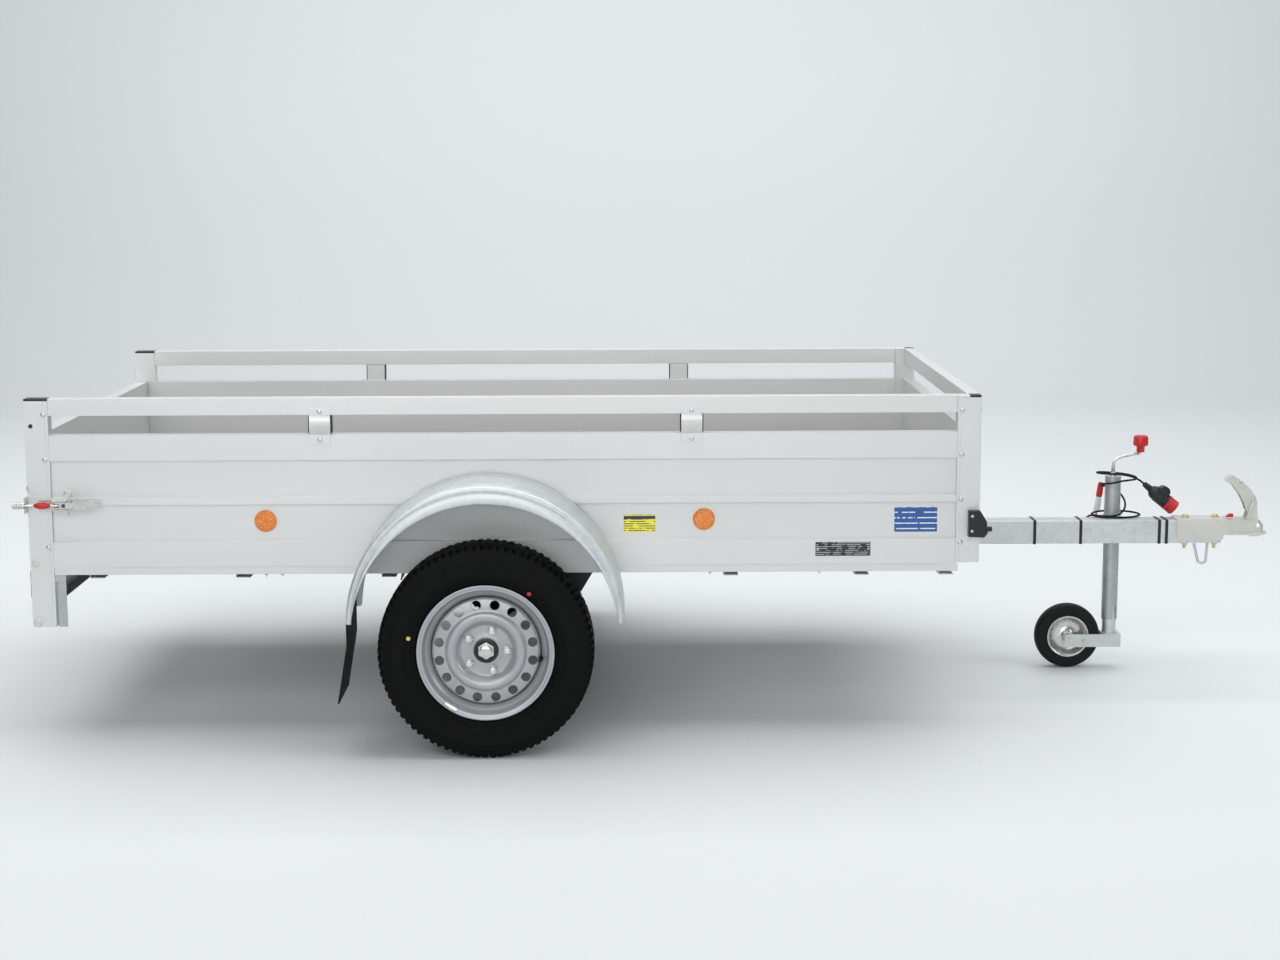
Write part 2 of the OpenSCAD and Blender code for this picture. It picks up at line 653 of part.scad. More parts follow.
module latch_lever_left() { put() lever(); }
module latch_lever_right() { put() right() lever(); }
module latch_hook_left() { put() hook(); }
module latch_hook_right() { put() right() hook(); }
module safety_pin() {
    color("silver") {
        rod_z(pin_x, latch_y, ear_z - 26, ear_z + 21, 2.5);
        translate([pin_x, latch_y, ear_z + 29]) rotate([90, 0, 0]) rotate_extrude()
            translate([10, 0]) circle(r = 2, $fn = 16);
    }
}
module latch_pin_left() { put() safety_pin(); }
module latch_pin_right() { put() right() safety_pin(); }

module tailgate() {
    y1 = gate_half - end_plate;
    color("silver") put()
        translate([gate_front, -y1, gate_low]) rotate([90, 0, 180])
            linear_extrude(2 * y1) wall_section(gate_t, panel_t - 3, gate_h);
}
module tailgate_fittings() {
    color("gainsboro") put() both() {
        difference() {
            box([gate_rear, gate_half - end_plate, gate_low], [gate_front, gate_half, wall_top]);
            rod_y(hinge_x, hinge_z, gate_half - 20, gate_half + eps, hinge_r + 0.05);
        }
        difference() {
            box([post_rear - ear_t - 0.3, gate_half - 60, ear_z - 22],
                [post_rear - 0.3, latch_y + 8, ear_z + 22]);
            box([post_rear - 20, latch_y - 8, ear_z - 6], [post_rear + 20, latch_y + 20, ear_z + 6]);
        }
        box([post_rear - 0.3, gate_half - 60, ear_z - 22], [gate_rear, gate_half - 4, ear_z + 22]);
    }
}

module swing_arm() {
    a = atan2(axle_z - wheel_z, axle_x);
    arm = norm([axle_x, axle_z - wheel_z]);
    color("dimgray") difference() {
        union() {
            rod_y(axle_x, axle_z, 738, 768, 34);
            rod_y(0, wheel_z, 738, 768, 28);
            translate([0, 741, wheel_z]) rotate([0, -a, 0]) box([9, 0, -22], [arm - 9, 24, 22]);
            rod_y(axle_x, axle_z, 600, 750, 16);
            rod_y(0, wheel_z, 755, 880, 14);
        }
    }
}
module swing_arm_left() { put() swing_arm(); }
module swing_arm_right() { put() right() swing_arm(); }

module tyre() {
    h = tyre_w / 2;
    b = rim_w / 2 - 6;
    color("black") translate([0, track_half, wheel_z]) rotate([-90, 0, 0]) rotate_extrude($fn = 96)
        polygon([[rim_r - 11, -b], [rim_r + 1, -b - 1.5], [rim_r + 4, -b - 6], [rim_r + 22, -h + 5],
            [rim_r + 46, -h], [rim_r + 68, -h + 3], [rim_r + 86, -h + 9], [tyre_r - 6, -h + 17], [tyre_r - 2, -h + 26],
            [tyre_r, -h + 44], [tyre_r, -34], [tyre_r - 6, -33], [tyre_r - 6, -27], [tyre_r, -26],
            [tyre_r, -4], [tyre_r - 6, -3], [tyre_r - 6, 3], [tyre_r, 4],
            [tyre_r, 26], [tyre_r - 6, 27], [tyre_r - 6, 33], [tyre_r, 34], [tyre_r, h - 44],
            [tyre_r - 2, h - 26], [tyre_r - 6, h - 17], [rim_r + 86, h - 9], [rim_r + 68, h - 3],
            [rim_r + 46, h], [rim_r + 22, h - 5], [rim_r + 4, b + 6], [rim_r + 1, b + 1.5], [rim_r - 11, b],
            [rim_r - 11, b - 12], [rim_r + 10, b - 7], [rim_r + 46, h - 9], [rim_r + 80, h - 18],
            [tyre_r - 14, h - 34], [tyre_r - 14, -h + 34], [rim_r + 80, -h + 18], [rim_r + 46, -h + 9],
            [rim_r + 10, -b + 7], [rim_r - 11, -b + 12]]);
}
module tyre_left() { put() tyre(); }
module tyre_right() { put() right() tyre(); }

module rim() {
    f = rim_w / 2;
    t = 4;
    color("silver") translate([0, track_half, wheel_z]) rotate([-90, 0, 0]) difference() {
        rotate_extrude($fn = 96) polygon([[33, face_y], [78, face_y], [92, face_y + 8], [112, face_y + 14],
            [132, face_y + 8], [146, face_y - 8], [148, face_y - 24], [150, face_y - 24], [150, -20],
            [rim_r - 16, -32], [rim_r - 16, -f + 4], [rim_r - 12, -f], [rim_r, -f],
            [rim_r, -f + 3], [rim_r - 11.6, -f + 5], [rim_r - 11.6, -30], [154, -16],
            [154, 20], [rim_r - 11.6, 36], [rim_r - 11.6, f - 5], [rim_r, f - 3], [rim_r, f],
            [rim_r - 12, f], [rim_r - 16, f - 4], [rim_r - 16, 38],
            [152, 26], [146, face_y + 1], [133, face_y + 13], [112, face_y + 18],
            [90, face_y + 12], [77, face_y + t], [33, face_y + t]]);
        for (a = [0:22.5:359]) rotate([0, 0, a + 11.25]) translate([130, 0, face_y - 20])
            cylinder(h = 60, r = 12.5);
        for (a = [0:72:359]) rotate([0, 0, a]) translate([56, 0, face_y - 5])
            cylinder(h = 20, r = 6.5);
    }
}
module rim_left() { put() rim(); }
module rim_right() { put() right() rim(); }

module hub() {
    color("gray") translate([0, track_half, wheel_z]) rotate([-90, 0, 0]) {
        difference() {
            union() {
                translate([0, 0, -78]) cylinder(h = face_y + 66, r = 42);
                translate([0, 0, face_y - 12]) cylinder(h = 12, r = 76);
                translate([0, 0, face_y]) cylinder(h = 14, r = 32.5);
                translate([0, 0, face_y + 14]) cylinder(h = 12, r = 20);
            }
            translate([0, 0, -90]) cylinder(h = 110, r = 14.06);
        }
        for (a = [0:72:359]) rotate([0, 0, a]) translate([56, 0, face_y + 4]) {
            cylinder(h = 10, r = 10, $fn = 6);
            translate([0, 0, -4]) cylinder(h = 4, r = 6);
        }
    }
}
module hub_left() { put() hub(); }
module hub_right() { put() right() hub(); }

module at_jockey() { translate([jockey_x, jockey_y, 0]) children(); }
module jockey_tube() {
    color("gainsboro") put() at_jockey() difference() {
        union() {
            translate([0, 0, jockey_low]) cylinder(h = jockey_top - 4 - jockey_low, r = jockey_r);
            translate([0, 0, jockey_top - 4]) cylinder(h = 4, r = jockey_r + 1);
        }
        translate([0, 0, jockey_low - eps]) cylinder(h = jockey_top - 10 - jockey_low, r = jockey_r - 2.5);
        translate([0, 0, jockey_low]) cylinder(h = 600, r = 6.06);
        // notch that locks the raised leg
        rotate([0, 0, -62]) box([0, -6, jockey_low - eps], [40, 6, jockey_low + 44]);
    }
}
module jockey_spindle() {
    // nut tube: rises and falls with the crank and carries the swivelling leg
    color("silver") put() at_jockey() difference() {
        translate([0, 0, 330]) cylinder(h = 60, r = leg_r);
        translate([0, 0, 320]) cylinder(h = 80, r = 7);
    }
}
module jockey_leg() {
    arm_low = 68;
    arm_top = 108;
    side = 33;
    color("gainsboro") put() at_jockey() {
        difference() {
            translate([0, 0, arm_top]) cylinder(h = 330 - arm_top, r = leg_r);
            translate([0, 0, arm_top + 4]) cylinder(h = 330, r = leg_r - 2.5);
        }
        difference() {
            box([-jockey_trail - 12, -side, arm_low], [31, side, arm_top]);
            box([-jockey_trail - 20, -side + 4, arm_low - eps], [-24, side - 4, arm_top + eps]);
            rod_y(-jockey_trail, jw_z, -side - eps, side + eps, 6);
        }
        rod_y(-jockey_trail, jw_z, -side - 1, side + 1, 6);
        rod_y(-jockey_trail, jw_z, -side - 6, -side, 9);
        rod_y(-jockey_trail, jw_z, side, side + 6, 9);
    }
}
module jockey_crank() {
    color("silver") put() at_jockey() {
        translate([0, 0, 200]) cylinder(h = crank_z - 200, r = 6);
        rod_x(0, crank_z, 0, crank_arm, 5);
        translate([crank_arm, 0, crank_z]) cylinder(h = 14, r = 5);
        translate([0, 0, crank_z]) sphere(r = 5.9);
        translate([crank_arm, 0, crank_z]) sphere(r = 4.9);
    }
}
module jockey_knob() {
    color("red") put() at_jockey() translate([crank_arm, 0, crank_z + 14]) {
        cylinder(h = 18, r = 12.5);
        translate([0, 0, 18]) rotate_extrude()
            polygon([[0, 0], [19, 0], [22.5, 5], [23, 16], [21, 26], [14, 32], [0, 34]]);
    }
}
module jockey_tyre() {
    color("black") put() translate([jw_x, jockey_y, jw_z]) rotate([-90, 0, 0]) rotate_extrude($fn = 64)
        polygon([[64, -24], [80, -25], [92, -22], [98, -15], [100, -6], [100, 6], [98, 15], [92, 22],
            [80, 25], [64, 24]]);
}
module jockey_rim() {
    color("lightsteelblue") put() translate([jw_x, jockey_y, jw_z]) rotate([-90, 0, 0]) difference() {
        rotate_extrude($fn = 64) polygon([[6.06, -26], [16, -26], [18, -10], [40, -8], [55, -14],
            [58, -26], [64, -26], [64, 26], [58, 26], [55, 14], [40, 8], [18, 10], [16, 26], [6.06, 26]]);
        for (a = [0:60:359]) rotate([0, 0, a]) translate([32, 0, -40]) cylinder(h = 80, r = 6);
    }
}

// profile of the coupling handle, from its pivot, lying open
module coupling_handle() {
    color("silver") put() translate([handle_x, 0, handle_z]) {
        difference() {
            union() {
                rotate([90, 0, 0]) translate([0, 0, -16]) linear_extrude(32)
                    polygon([[-8, -9], [8, -9], [12, 4], [11, 32], [2, 54], [-20, 79], [-48, 103],
                        [-66, 113], [-78, 109], [-85, 98], [-82, 91], [-68, 87], [-42, 52], [-28, 24],
                        [-22, 6], [-14, -2]]);
            }
            rod_y(0, 0, -40, 40, 4.06);
            // pressed hollow on the rear side
            rotate([90, 0, 0]) translate([0, 0, -12.5]) linear_extrude(25)
                polygon([[-36, 5], [2, 6], [6, 30], [-3, 50], [-24, 74], [-50, 96], [-60, 95], [-66, 84],
                    [-90, 60]]);
        }
    }
}
module coupling_jaw() {
    color("dimgray") put() difference() {
        translate([0, 11, 0]) rotate([90, 0, 0]) linear_extrude(22)
            polygon([[jaw_x - 8, jaw_z + 5.5], [jaw_x + 7, jaw_z + 5.5], [jaw_x + 8, jaw_z - 18],
                [jaw_x + 9.5, jaw_z - 23], [jaw_x + 5, jaw_z - 27], [jaw_x - 3, jaw_z - 24]]);
        rod_y(jaw_x, jaw_z, -40, 40, 4.06);
        translate([ball_x, 0, ball_z]) sphere(r = ball_r + 2);
    }
}

floor_board();
side_walls();
front_wall();
rear_posts();
front_posts();
post_caps();
side_rails();
front_rail();
rail_brackets();
bracket_caps();
body_bolts();
sills();
crossmembers();
light_beam();
rear_lamps();
plate_holder();
drawbar();
axle_beam();
axle_brackets();
coupling_body();
coupling_head();
coupling_bolts();
guide_hoop();
mudguards();
mud_flaps();
reflectors();
marker_lamps();
type_plate();
jockey_clamp();
cable_straps();
supply_cable();
plug_body();
plug_ring();
latch_brackets();
tailgate();
tailgate_fittings();
latch_lever_right();
latch_lever_left();
latch_hook_right();
latch_hook_left();
latch_pin_right();
latch_pin_left();
swing_arm_right();
swing_arm_left();
tyre_right();
tyre_left();
rim_right();
rim_left();
hub_right();
hub_left();
jockey_tube();
jockey_spindle();
jockey_leg();
jockey_crank();
jockey_knob();
jockey_tyre();
jockey_rim();
clamp_handle();
coupling_handle();
coupling_jaw();
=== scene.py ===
"""Visual model of a single-axle open box trailer with rails, mudguards, jockey wheel and ball coupling.

Each piece is made by one operator and rides on its body of the frame. Lengths are in metres,
+X to the coupling, +Y to the left side, +Z up.
"""

import json
import math

import bmesh
import bpy
from mathutils import Matrix, Vector


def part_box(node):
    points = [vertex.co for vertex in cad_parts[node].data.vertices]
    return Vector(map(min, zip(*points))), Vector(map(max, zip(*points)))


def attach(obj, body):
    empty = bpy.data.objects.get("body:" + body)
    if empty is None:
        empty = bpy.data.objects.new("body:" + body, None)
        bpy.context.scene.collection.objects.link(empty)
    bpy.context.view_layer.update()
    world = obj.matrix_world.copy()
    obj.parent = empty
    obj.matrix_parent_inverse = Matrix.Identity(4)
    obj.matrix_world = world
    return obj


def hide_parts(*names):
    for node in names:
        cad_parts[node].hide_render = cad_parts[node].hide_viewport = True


bl_info = {
    "name": "Box Trailer",
    "version": (1, 0, 0),
    "blender": (4, 5, 0),
    "location": "3D View > Sidebar > Trailer",
    "description": "Dresses the trailer's frame with detailed pieces and finishes",
    "category": "Object",
}

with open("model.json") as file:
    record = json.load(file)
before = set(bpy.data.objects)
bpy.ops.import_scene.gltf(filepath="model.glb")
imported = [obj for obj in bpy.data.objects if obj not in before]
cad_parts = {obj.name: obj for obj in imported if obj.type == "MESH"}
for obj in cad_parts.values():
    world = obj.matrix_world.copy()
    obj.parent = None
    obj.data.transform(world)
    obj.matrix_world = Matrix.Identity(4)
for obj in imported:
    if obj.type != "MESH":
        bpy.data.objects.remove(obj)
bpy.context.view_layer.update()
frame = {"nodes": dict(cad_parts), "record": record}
SIDES = (("right", -1), ("left", 1))
TURN = 2 * math.pi


# ---------------------------------------------------------------- places taken from the frame

def low(node):
    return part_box(node)[0]


def high(node):
    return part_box(node)[1]


def middle(node):
    return (low(node) + high(node)) / 2


WHEEL = middle("rim_right")                       # middle of the right wheel
WHEEL_R = (high("tyre_right").x - low("tyre_right").x) / 2
RIM_R = (high("rim_right").x - low("rim_right").x) / 2
TRACK = abs(WHEEL.y)
BOX_REAR = low("rear_posts").x
BOX_FRONT = high("front_posts").x
HALF_BOX = high("rear_posts").y
INNER_HALF = high("floor_board").y
RAIL_TOP = high("side_rails").z
BAR_TOP = high("drawbar").z
BAR_HALF = high("drawbar").y
BAR_LOW = low("drawbar").z
JOCKEY = middle("jockey_tube")
JOCKEY_TOP = high("jockey_tube").z
GUARD_R = (high("mudguards").x - low("mudguards").x) / 2
GUARD_Z = low("mudguards").z
GUARD_Y = high("mudguards").y
LATCH_Z = middle("latch_hook_left").z
RIB_DEPTH = 0.003                                 # depth of the notches in the tread's ribs
GUARD_LIP = 0.034                                 # extra depth of the mudguard's lip at its top
HAND_HOLES = 16
HOLE_CIRCLE = 0.1262                              # radius on which the hand holes' centres lie
WHEEL_BOLTS = 5
BOLT_CIRCLE = 0.056                               # radius on which the wheel bolts lie
CABLE_R = 0.003
PLUG_PINS = 7


# ---------------------------------------------------------------- shader maths

class Value:
    """A socket of a shader that Python expressions can reckon with."""

    def __init__(self, tree, socket):
        self.tree = tree
        self.socket = socket

    def reckon(self, operation, *others):
        step = self.tree.nodes.new("ShaderNodeMath")
        step.operation = operation
        for place, term in enumerate((self, *others)):
            if isinstance(term, Value):
                self.tree.links.new(term.socket, step.inputs[place])
            else:
                step.inputs[place].default_value = term
        return Value(self.tree, step.outputs[0])

    def __add__(self, other):
        return self.reckon("ADD", other)

    __radd__ = __add__

    def __mul__(self, other):
        return self.reckon("MULTIPLY", other)

    __rmul__ = __mul__

    def __sub__(self, other):
        return self.reckon("SUBTRACT", other)

    def __rsub__(self, other):
        return self.reckon("MULTIPLY", -1.0).reckon("ADD", other)

    def __gt__(self, other):
        return self.reckon("GREATER_THAN", other)

    def clamped(self):
        return self.reckon("MAXIMUM", 0.0).reckon("MINIMUM", 1.0)

    def wave(self, pitch):
        """Runs from -1 to 1 and back once in each pitch."""
        return (self * (TURN / pitch)).reckon("SINE")

    def distance(self):
        return self.reckon("ABSOLUTE")


class Finish:
    """A material built on one Principled shader."""

    def __init__(self, name, colour, roughness, metallic=0.0, **fixed):
        self.material = bpy.data.materials.new(name)
        self.material.use_nodes = True
        self.material.diffuse_color = (*colour, 1.0)
        self.tree = self.material.node_tree
        self.shader = self.tree.nodes["Principled BSDF"]
        self.set("Base Color", (*colour, 1.0))
        self.set("Roughness", roughness)
        self.set("Metallic", metallic)
        for socket, value in fixed.items():
            self.set(socket.replace("_", " "), value)

    def set(self, socket, value):
        self.shader.inputs[socket].default_value = value

    def node(self, kind, settings, inputs, output=0):
        """Adds a node: its settings first, then the values or links of its sockets."""
        made = self.tree.nodes.new(kind)
        for key, value in settings.items():
            setattr(made, key, value)
        for socket, value in inputs.items():
            if isinstance(value, Value):
                self.tree.links.new(value.socket, made.inputs[socket])
            else:
                made.inputs[socket].default_value = value
        return Value(self.tree, made.outputs[output])

    def place(self, scale=(1, 1, 1), about=(0, 0, 0)):
        """Object coordinates, moved to a centre and stretched."""
        spot = self.node("ShaderNodeTexCoord", {}, {}, "Object")
        moved = self.node("ShaderNodeVectorMath", {"operation": "SUBTRACT"}, {0: spot, 1: about})
        return self.node("ShaderNodeVectorMath", {"operation": "MULTIPLY"}, {0: moved, 1: scale})

    def axis(self, vector, letter):
        return self.node("ShaderNodeSeparateXYZ", {}, {0: vector}, letter)

    def noise(self, vector, scale, detail=3.0, roughness=0.5):
        return self.node("ShaderNodeTexNoise", {},
                         {"Vector": vector, "Scale": scale, "Detail": detail, "Roughness": roughness})

    def cells(self, vector, scale, output="Distance", feature="F1"):
        return self.node("ShaderNodeTexVoronoi", {"feature": feature},
                         {"Vector": vector, "Scale": scale}, output)

    def blend(self, factor, first, second):
        """Mixes two colours."""
        inputs = {}
        for socket, value in ((0, factor), (6, first), (7, second)):
            inputs[socket] = value if isinstance(value, (Value, float)) else (*value, 1.0)
        return self.node("ShaderNodeMix", {"data_type": "RGBA"}, inputs, 2)

    def step(self, value, start, end):
        """0 below start, 1 above end, smooth between."""
        return self.node("ShaderNodeMapRange", {"interpolation_type": "SMOOTHSTEP"},
                         {"Value": value, "From Min": start, "From Max": end})

    def link(self, socket, value):
        self.tree.links.new(value.socket, self.shader.inputs[socket])

    def bump(self, height, distance, strength=1.0):
        self.link("Normal", self.node("ShaderNodeBump", {}, {"Height": height, "Distance": distance,
                                                             "Strength": strength}))


def drawn_aluminium():
    """Satin anodised profile: fine lines along its length, faint handling marks."""
    finish = Finish("drawn aluminium", (0.72, 0.73, 0.72), 0.42, 0.55, Specular_IOR_Level=0.5)
    along = finish.noise(finish.place((0.9, 60, 260)), 6.0, 4.0, 0.6)
    cloud = finish.noise(finish.place((1.0, 1.0, 2.5)), 1.6, 3.0, 0.55)
    smear = finish.noise(finish.place((3.0, 3.0, 9.0)), 5.0, 5.0, 0.6)
    tone = (along * 0.45 + cloud * 0.55).clamped()
    finish.link("Base Color", finish.blend(tone, (0.64, 0.655, 0.65), (0.77, 0.78, 0.775)))
    finish.link("Roughness", (along * 0.14 + smear * 0.16 + 0.29).clamped())
    finish.bump(along, 0.00025, 0.5)
    return finish.material


def galvanised(name="galvanised steel", dark=(0.50, 0.535, 0.55), light=(0.78, 0.81, 0.82)):
    """Hot-dip zinc with soft spangle and dull streaks."""
    finish = Finish(name, light, 0.4, 0.85)
    crystals = finish.cells(finish.place(), 70.0, "Color")
    tint = finish.axis(crystals, "X")
    cloud = finish.noise(finish.place(), 9.0, 5.0, 0.6)
    streak = finish.noise(finish.place((2.0, 2.0, 14.0)), 6.0, 4.0, 0.6)
    tone = (tint * 0.30 + cloud * 0.45 + streak * 0.25).clamped()
    finish.link("Base Color", finish.blend(tone, dark, light))
    finish.link("Roughness", (0.34 + tint * 0.12 + cloud * 0.22).clamped())
    finish.bump(cloud * 0.6 + tint * 0.15, 0.0004, 0.3)
    return finish.material


def bright_zinc():
    """Thin bright plating with soft cloudiness."""
    finish = Finish("bright zinc", (0.66, 0.67, 0.65), 0.3, 0.9)
    cloud = finish.noise(finish.place(), 26.0, 4.0, 0.6)
    grain = finish.noise(finish.place(), 420.0, 2.0, 0.5)
    finish.link("Base Color", finish.blend(cloud, (0.52, 0.525, 0.50), (0.78, 0.79, 0.77)))
    finish.link("Roughness", (cloud * 0.22 + 0.16).clamped())
    finish.bump(grain, 0.00006, 0.25)
    return finish.material


def passivated_zinc():
    """Plating with a warm, dull passivated skin."""
    finish = Finish("passivated zinc", (0.72, 0.72, 0.66), 0.42, 0.6)
    cloud = finish.noise(finish.place(), 30.0, 4.0, 0.6)
    stain = finish.noise(finish.place((1.0, 1.0, 2.0)), 9.0, 3.0, 0.55)
    finish.link("Base Color", finish.blend((cloud * 0.5 + stain * 0.5).clamped(), (0.56, 0.57, 0.50),
                                           (0.80, 0.80, 0.76)))
    finish.link("Roughness", (cloud * 0.25 + 0.26).clamped())
    finish.bump(cloud, 0.0002, 0.3)
    return finish.material


def yellow_zinc():
    finish = Finish("yellow zinc", (0.70, 0.56, 0.28), 0.3, 0.95)
    cloud = finish.noise(finish.place(), 90.0, 3.0, 0.6)
    finish.link("Base Color", finish.blend(cloud, (0.62, 0.42, 0.16), (0.78, 0.72, 0.46)))
    finish.link("Roughness", (cloud * 0.3 + 0.16).clamped())
    return finish.material


def silver_paint():
    """Wheel lacquer with a fine metallic fleck and a slight orange-peel surface."""
    finish = Finish("silver paint", (0.42, 0.43, 0.45), 0.36, 0.45, Coat_Weight=0.25,
                    Coat_Roughness=0.2)
    fleck = finish.noise(finish.place(), 900.0, 1.0, 0.5)
    cloud = finish.noise(finish.place(), 14.0, 3.0, 0.5)
    peel = finish.noise(finish.place(), 260.0, 2.0, 0.5)
    finish.link("Base Color", finish.blend((fleck * 0.5 + cloud * 0.5).clamped(), (0.33, 0.34, 0.36),
                                           (0.50, 0.51, 0.53)))
    finish.link("Roughness", (fleck * 0.18 + 0.28).clamped())
    finish.bump(peel, 0.0004, 0.2)
    return finish.material


def moulded(name, colour, roughness=0.42, grain=0.35):
    """Injection-moulded plastic with a fine spark-eroded grain."""
    finish = Finish(name, colour, roughness, 0.0, Specular_IOR_Level=0.45)
    pebble = finish.noise(finish.place(), 700.0, 2.0, 0.55)
    cloud = finish.noise(finish.place(), 30.0, 3.0, 0.5)
    dull = tuple(channel * 0.8 + 0.004 for channel in colour)
    finish.link("Base Color", finish.blend(cloud, dull, colour))
    finish.link("Roughness", (cloud * 0.2 + (roughness - 0.1)).clamped())
    finish.bump(pebble, 0.0004, grain)
    return finish.material


def tyre_rubber():
    """Road tyre: dull tread, finely ribbed sidewall with raised rings and a faint bloom."""
    finish = Finish("tyre rubber", (0.004, 0.004, 0.004), 0.7, 0.0, Specular_IOR_Level=0.1)
    spot = finish.place((1, 0, 1), (WHEEL.x, 0, WHEEL.z))
    radius = finish.node("ShaderNodeVectorMath", {"operation": "LENGTH"}, {0: spot}, "Value")
    bloom = finish.noise(finish.place(), 11.0, 5.0, 0.6)
    speckle = finish.noise(finish.place(), 500.0, 2.0, 0.5)
    finish.link("Base Color", finish.blend((bloom * 0.8 + speckle * 0.2).clamped(),
                                           (0.002, 0.0022, 0.0022), (0.006, 0.0062, 0.0064)))
    finish.link("Roughness", (0.50 + bloom * 0.28).clamped())
    ribs = radius.wave(0.0042) * 0.5 + 0.5
    band = finish.step(radius, RIM_R + 0.012, RIM_R + 0.016) * (1.0 - finish.step(radius, RIM_R + 0.030,
                                                                                  RIM_R + 0.034))
    finish.bump(ribs * band * 0.8 + speckle * 0.12, 0.0012, 0.6)
    return finish.material


def plain_rubber(name, colour, roughness=0.6):
    finish = Finish(name, colour, roughness, 0.0, Specular_IOR_Level=0.15)
    mottle = finish.noise(finish.place(), 45.0, 4.0, 0.6)
    grain = finish.noise(finish.place(), 380.0, 2.0, 0.6)
    paler = tuple(channel * 1.9 + 0.003 for channel in colour)
    finish.link("Base Color", finish.blend(mottle, colour, paler))
    finish.link("Roughness", (mottle * 0.2 + (roughness - 0.1)).clamped())
    finish.bump(grain, 0.0006, 0.4)
    return finish.material


def film_plywood():
    """Brown phenolic film with a pressed wire-mesh pattern."""
    finish = Finish("film plywood", (0.17, 0.10, 0.06), 0.45)
    spot = finish.place()
    mesh = (finish.axis(spot, "X").wave(0.008) * finish.axis(spot, "Y").wave(0.008)).distance()
    grain = finish.noise(finish.place((1.2, 14.0, 1.0)), 5.0, 5.0, 0.6)
    wear = finish.noise(finish.place(), 2.6, 5.0, 0.6)
    finish.link("Base Color", finish.blend((grain * 0.6 + wear * 0.4).clamped(), (0.060, 0.048, 0.040),
                                           (0.125, 0.105, 0.090)))
    finish.link("Roughness", (wear * 0.3 + 0.3).clamped())
    finish.bump(mesh * 0.5 + grain * 0.3, 0.0006, 0.5)
    return finish.material


def prism_amber():
    """Amber reflector: wedge-shaped fields of tiny prisms under a clear face."""
    finish = Finish("amber reflector", (0.85, 0.20, 0.01), 0.16, 0.0, Coat_Weight=0.8,
                    Coat_Roughness=0.05)
    prisms = finish.cells(finish.place(), 420.0, "Color")
    tint = finish.axis(prisms, "X")
    finish.link("Base Color", finish.blend(tint, (0.62, 0.12, 0.005), (0.98, 0.33, 0.03)))
    finish.bump(tint, 0.0008, 0.5)
    return finish.material


def red_lens():
    finish = Finish("red lens", (0.45, 0.01, 0.01), 0.12, 0.0, Coat_Weight=0.8, Coat_Roughness=0.05)
    spot = finish.place()
    flutes = finish.axis(spot, "Y").wave(0.006) * 0.5 + 0.5
    finish.link("Base Color", finish.blend(flutes, (0.30, 0.004, 0.004), (0.60, 0.02, 0.015)))
    finish.bump(flutes, 0.001, 0.5)
    return finish.material


def clear_lens():
    finish = Finish("clear lens", (0.82, 0.85, 0.88), 0.08, 0.0, Coat_Weight=0.6, Coat_Roughness=0.03,
                    Transmission_Weight=0.35)
    rings = finish.axis(finish.place(), "Z").wave(0.004) * 0.5 + 0.5
    finish.link("Base Color", finish.blend(rings, (0.70, 0.75, 0.80), (0.93, 0.95, 0.97)))
    finish.bump(rings, 0.0006, 0.4)
    return finish.material


def printed(name, ground, ink, row_pitch, share, heading=None):
    """Label with bars in place of print: rows of ink whose ends wander, under an optional heading."""
    finish = Finish(name, ground, 0.35, 0.0, Coat_Weight=0.3, Coat_Roughness=0.2)
    spot = finish.place()
    rows = (finish.axis(spot, "Z").wave(row_pitch) > (1.0 - share))
    words = finish.noise(finish.place((1.0, 1.0, 0.35 / row_pitch * 0.02)), 55.0, 2.0, 0.6) > 0.46
    ink_here = rows * words
    paper = finish.noise(finish.place(), 60.0, 2.0, 0.5)
    base = finish.blend(paper, tuple(channel * 0.92 for channel in ground), ground)
    if heading:
        start, end, colour = heading
        height = finish.axis(spot, "Z")
        bar = (height > start) * (1.0 - (height > end))
        ink_here = ink_here * (1.0 - bar)
        base = finish.blend(bar, base, colour)
    finish.link("Base Color", finish.blend(ink_here, base, ink))
    return finish.material


FINISHES = {}


def finish_named(name):
    """Makes each finish once."""
    makers = {
        "aluminium": drawn_aluminium,
        "galvanised": galvanised,
        # Darker copy of the galvanised finish, made as painted shade; the jockey tube and the light beam
        # carry it
        "shade-darkened galvanised": lambda: galvanised("shade-darkened galvanised", (0.34, 0.37, 0.375),
                                              (0.58, 0.61, 0.61)),
        "zinc": bright_zinc,
        "yellow zinc": yellow_zinc,
        "passivated": passivated_zinc,
        "silver": silver_paint,
        "black plastic": lambda: moulded("black plastic", (0.010, 0.010, 0.011)),
        "red plastic": lambda: moulded("red plastic", (0.56, 0.016, 0.014), 0.3, 0.15),
        "white plastic": lambda: moulded("white plastic", (0.80, 0.81, 0.82), 0.3, 0.1),
        "black paint": lambda: moulded("black paint", (0.010, 0.010, 0.011), 0.35, 0.2),
        "tyre": tyre_rubber,
        "black rubber": lambda: plain_rubber("black rubber", (0.006, 0.006, 0.006)),
        "solid tyre": lambda: plain_rubber("solid tyre", (0.006, 0.006, 0.0065), 0.55),
        "plywood": film_plywood,
        "amber": prism_amber,
        "red lens": red_lens,
        "clear lens": clear_lens,
        "yellow dot": lambda: moulded("yellow marking paint", (0.75, 0.66, 0.10), 0.5, 0.1),
        "red dot": lambda: moulded("red marking paint", (0.50, 0.03, 0.02), 0.5, 0.1),
    }
    if name not in FINISHES:
        FINISHES[name] = makers[name]()
    return FINISHES[name]


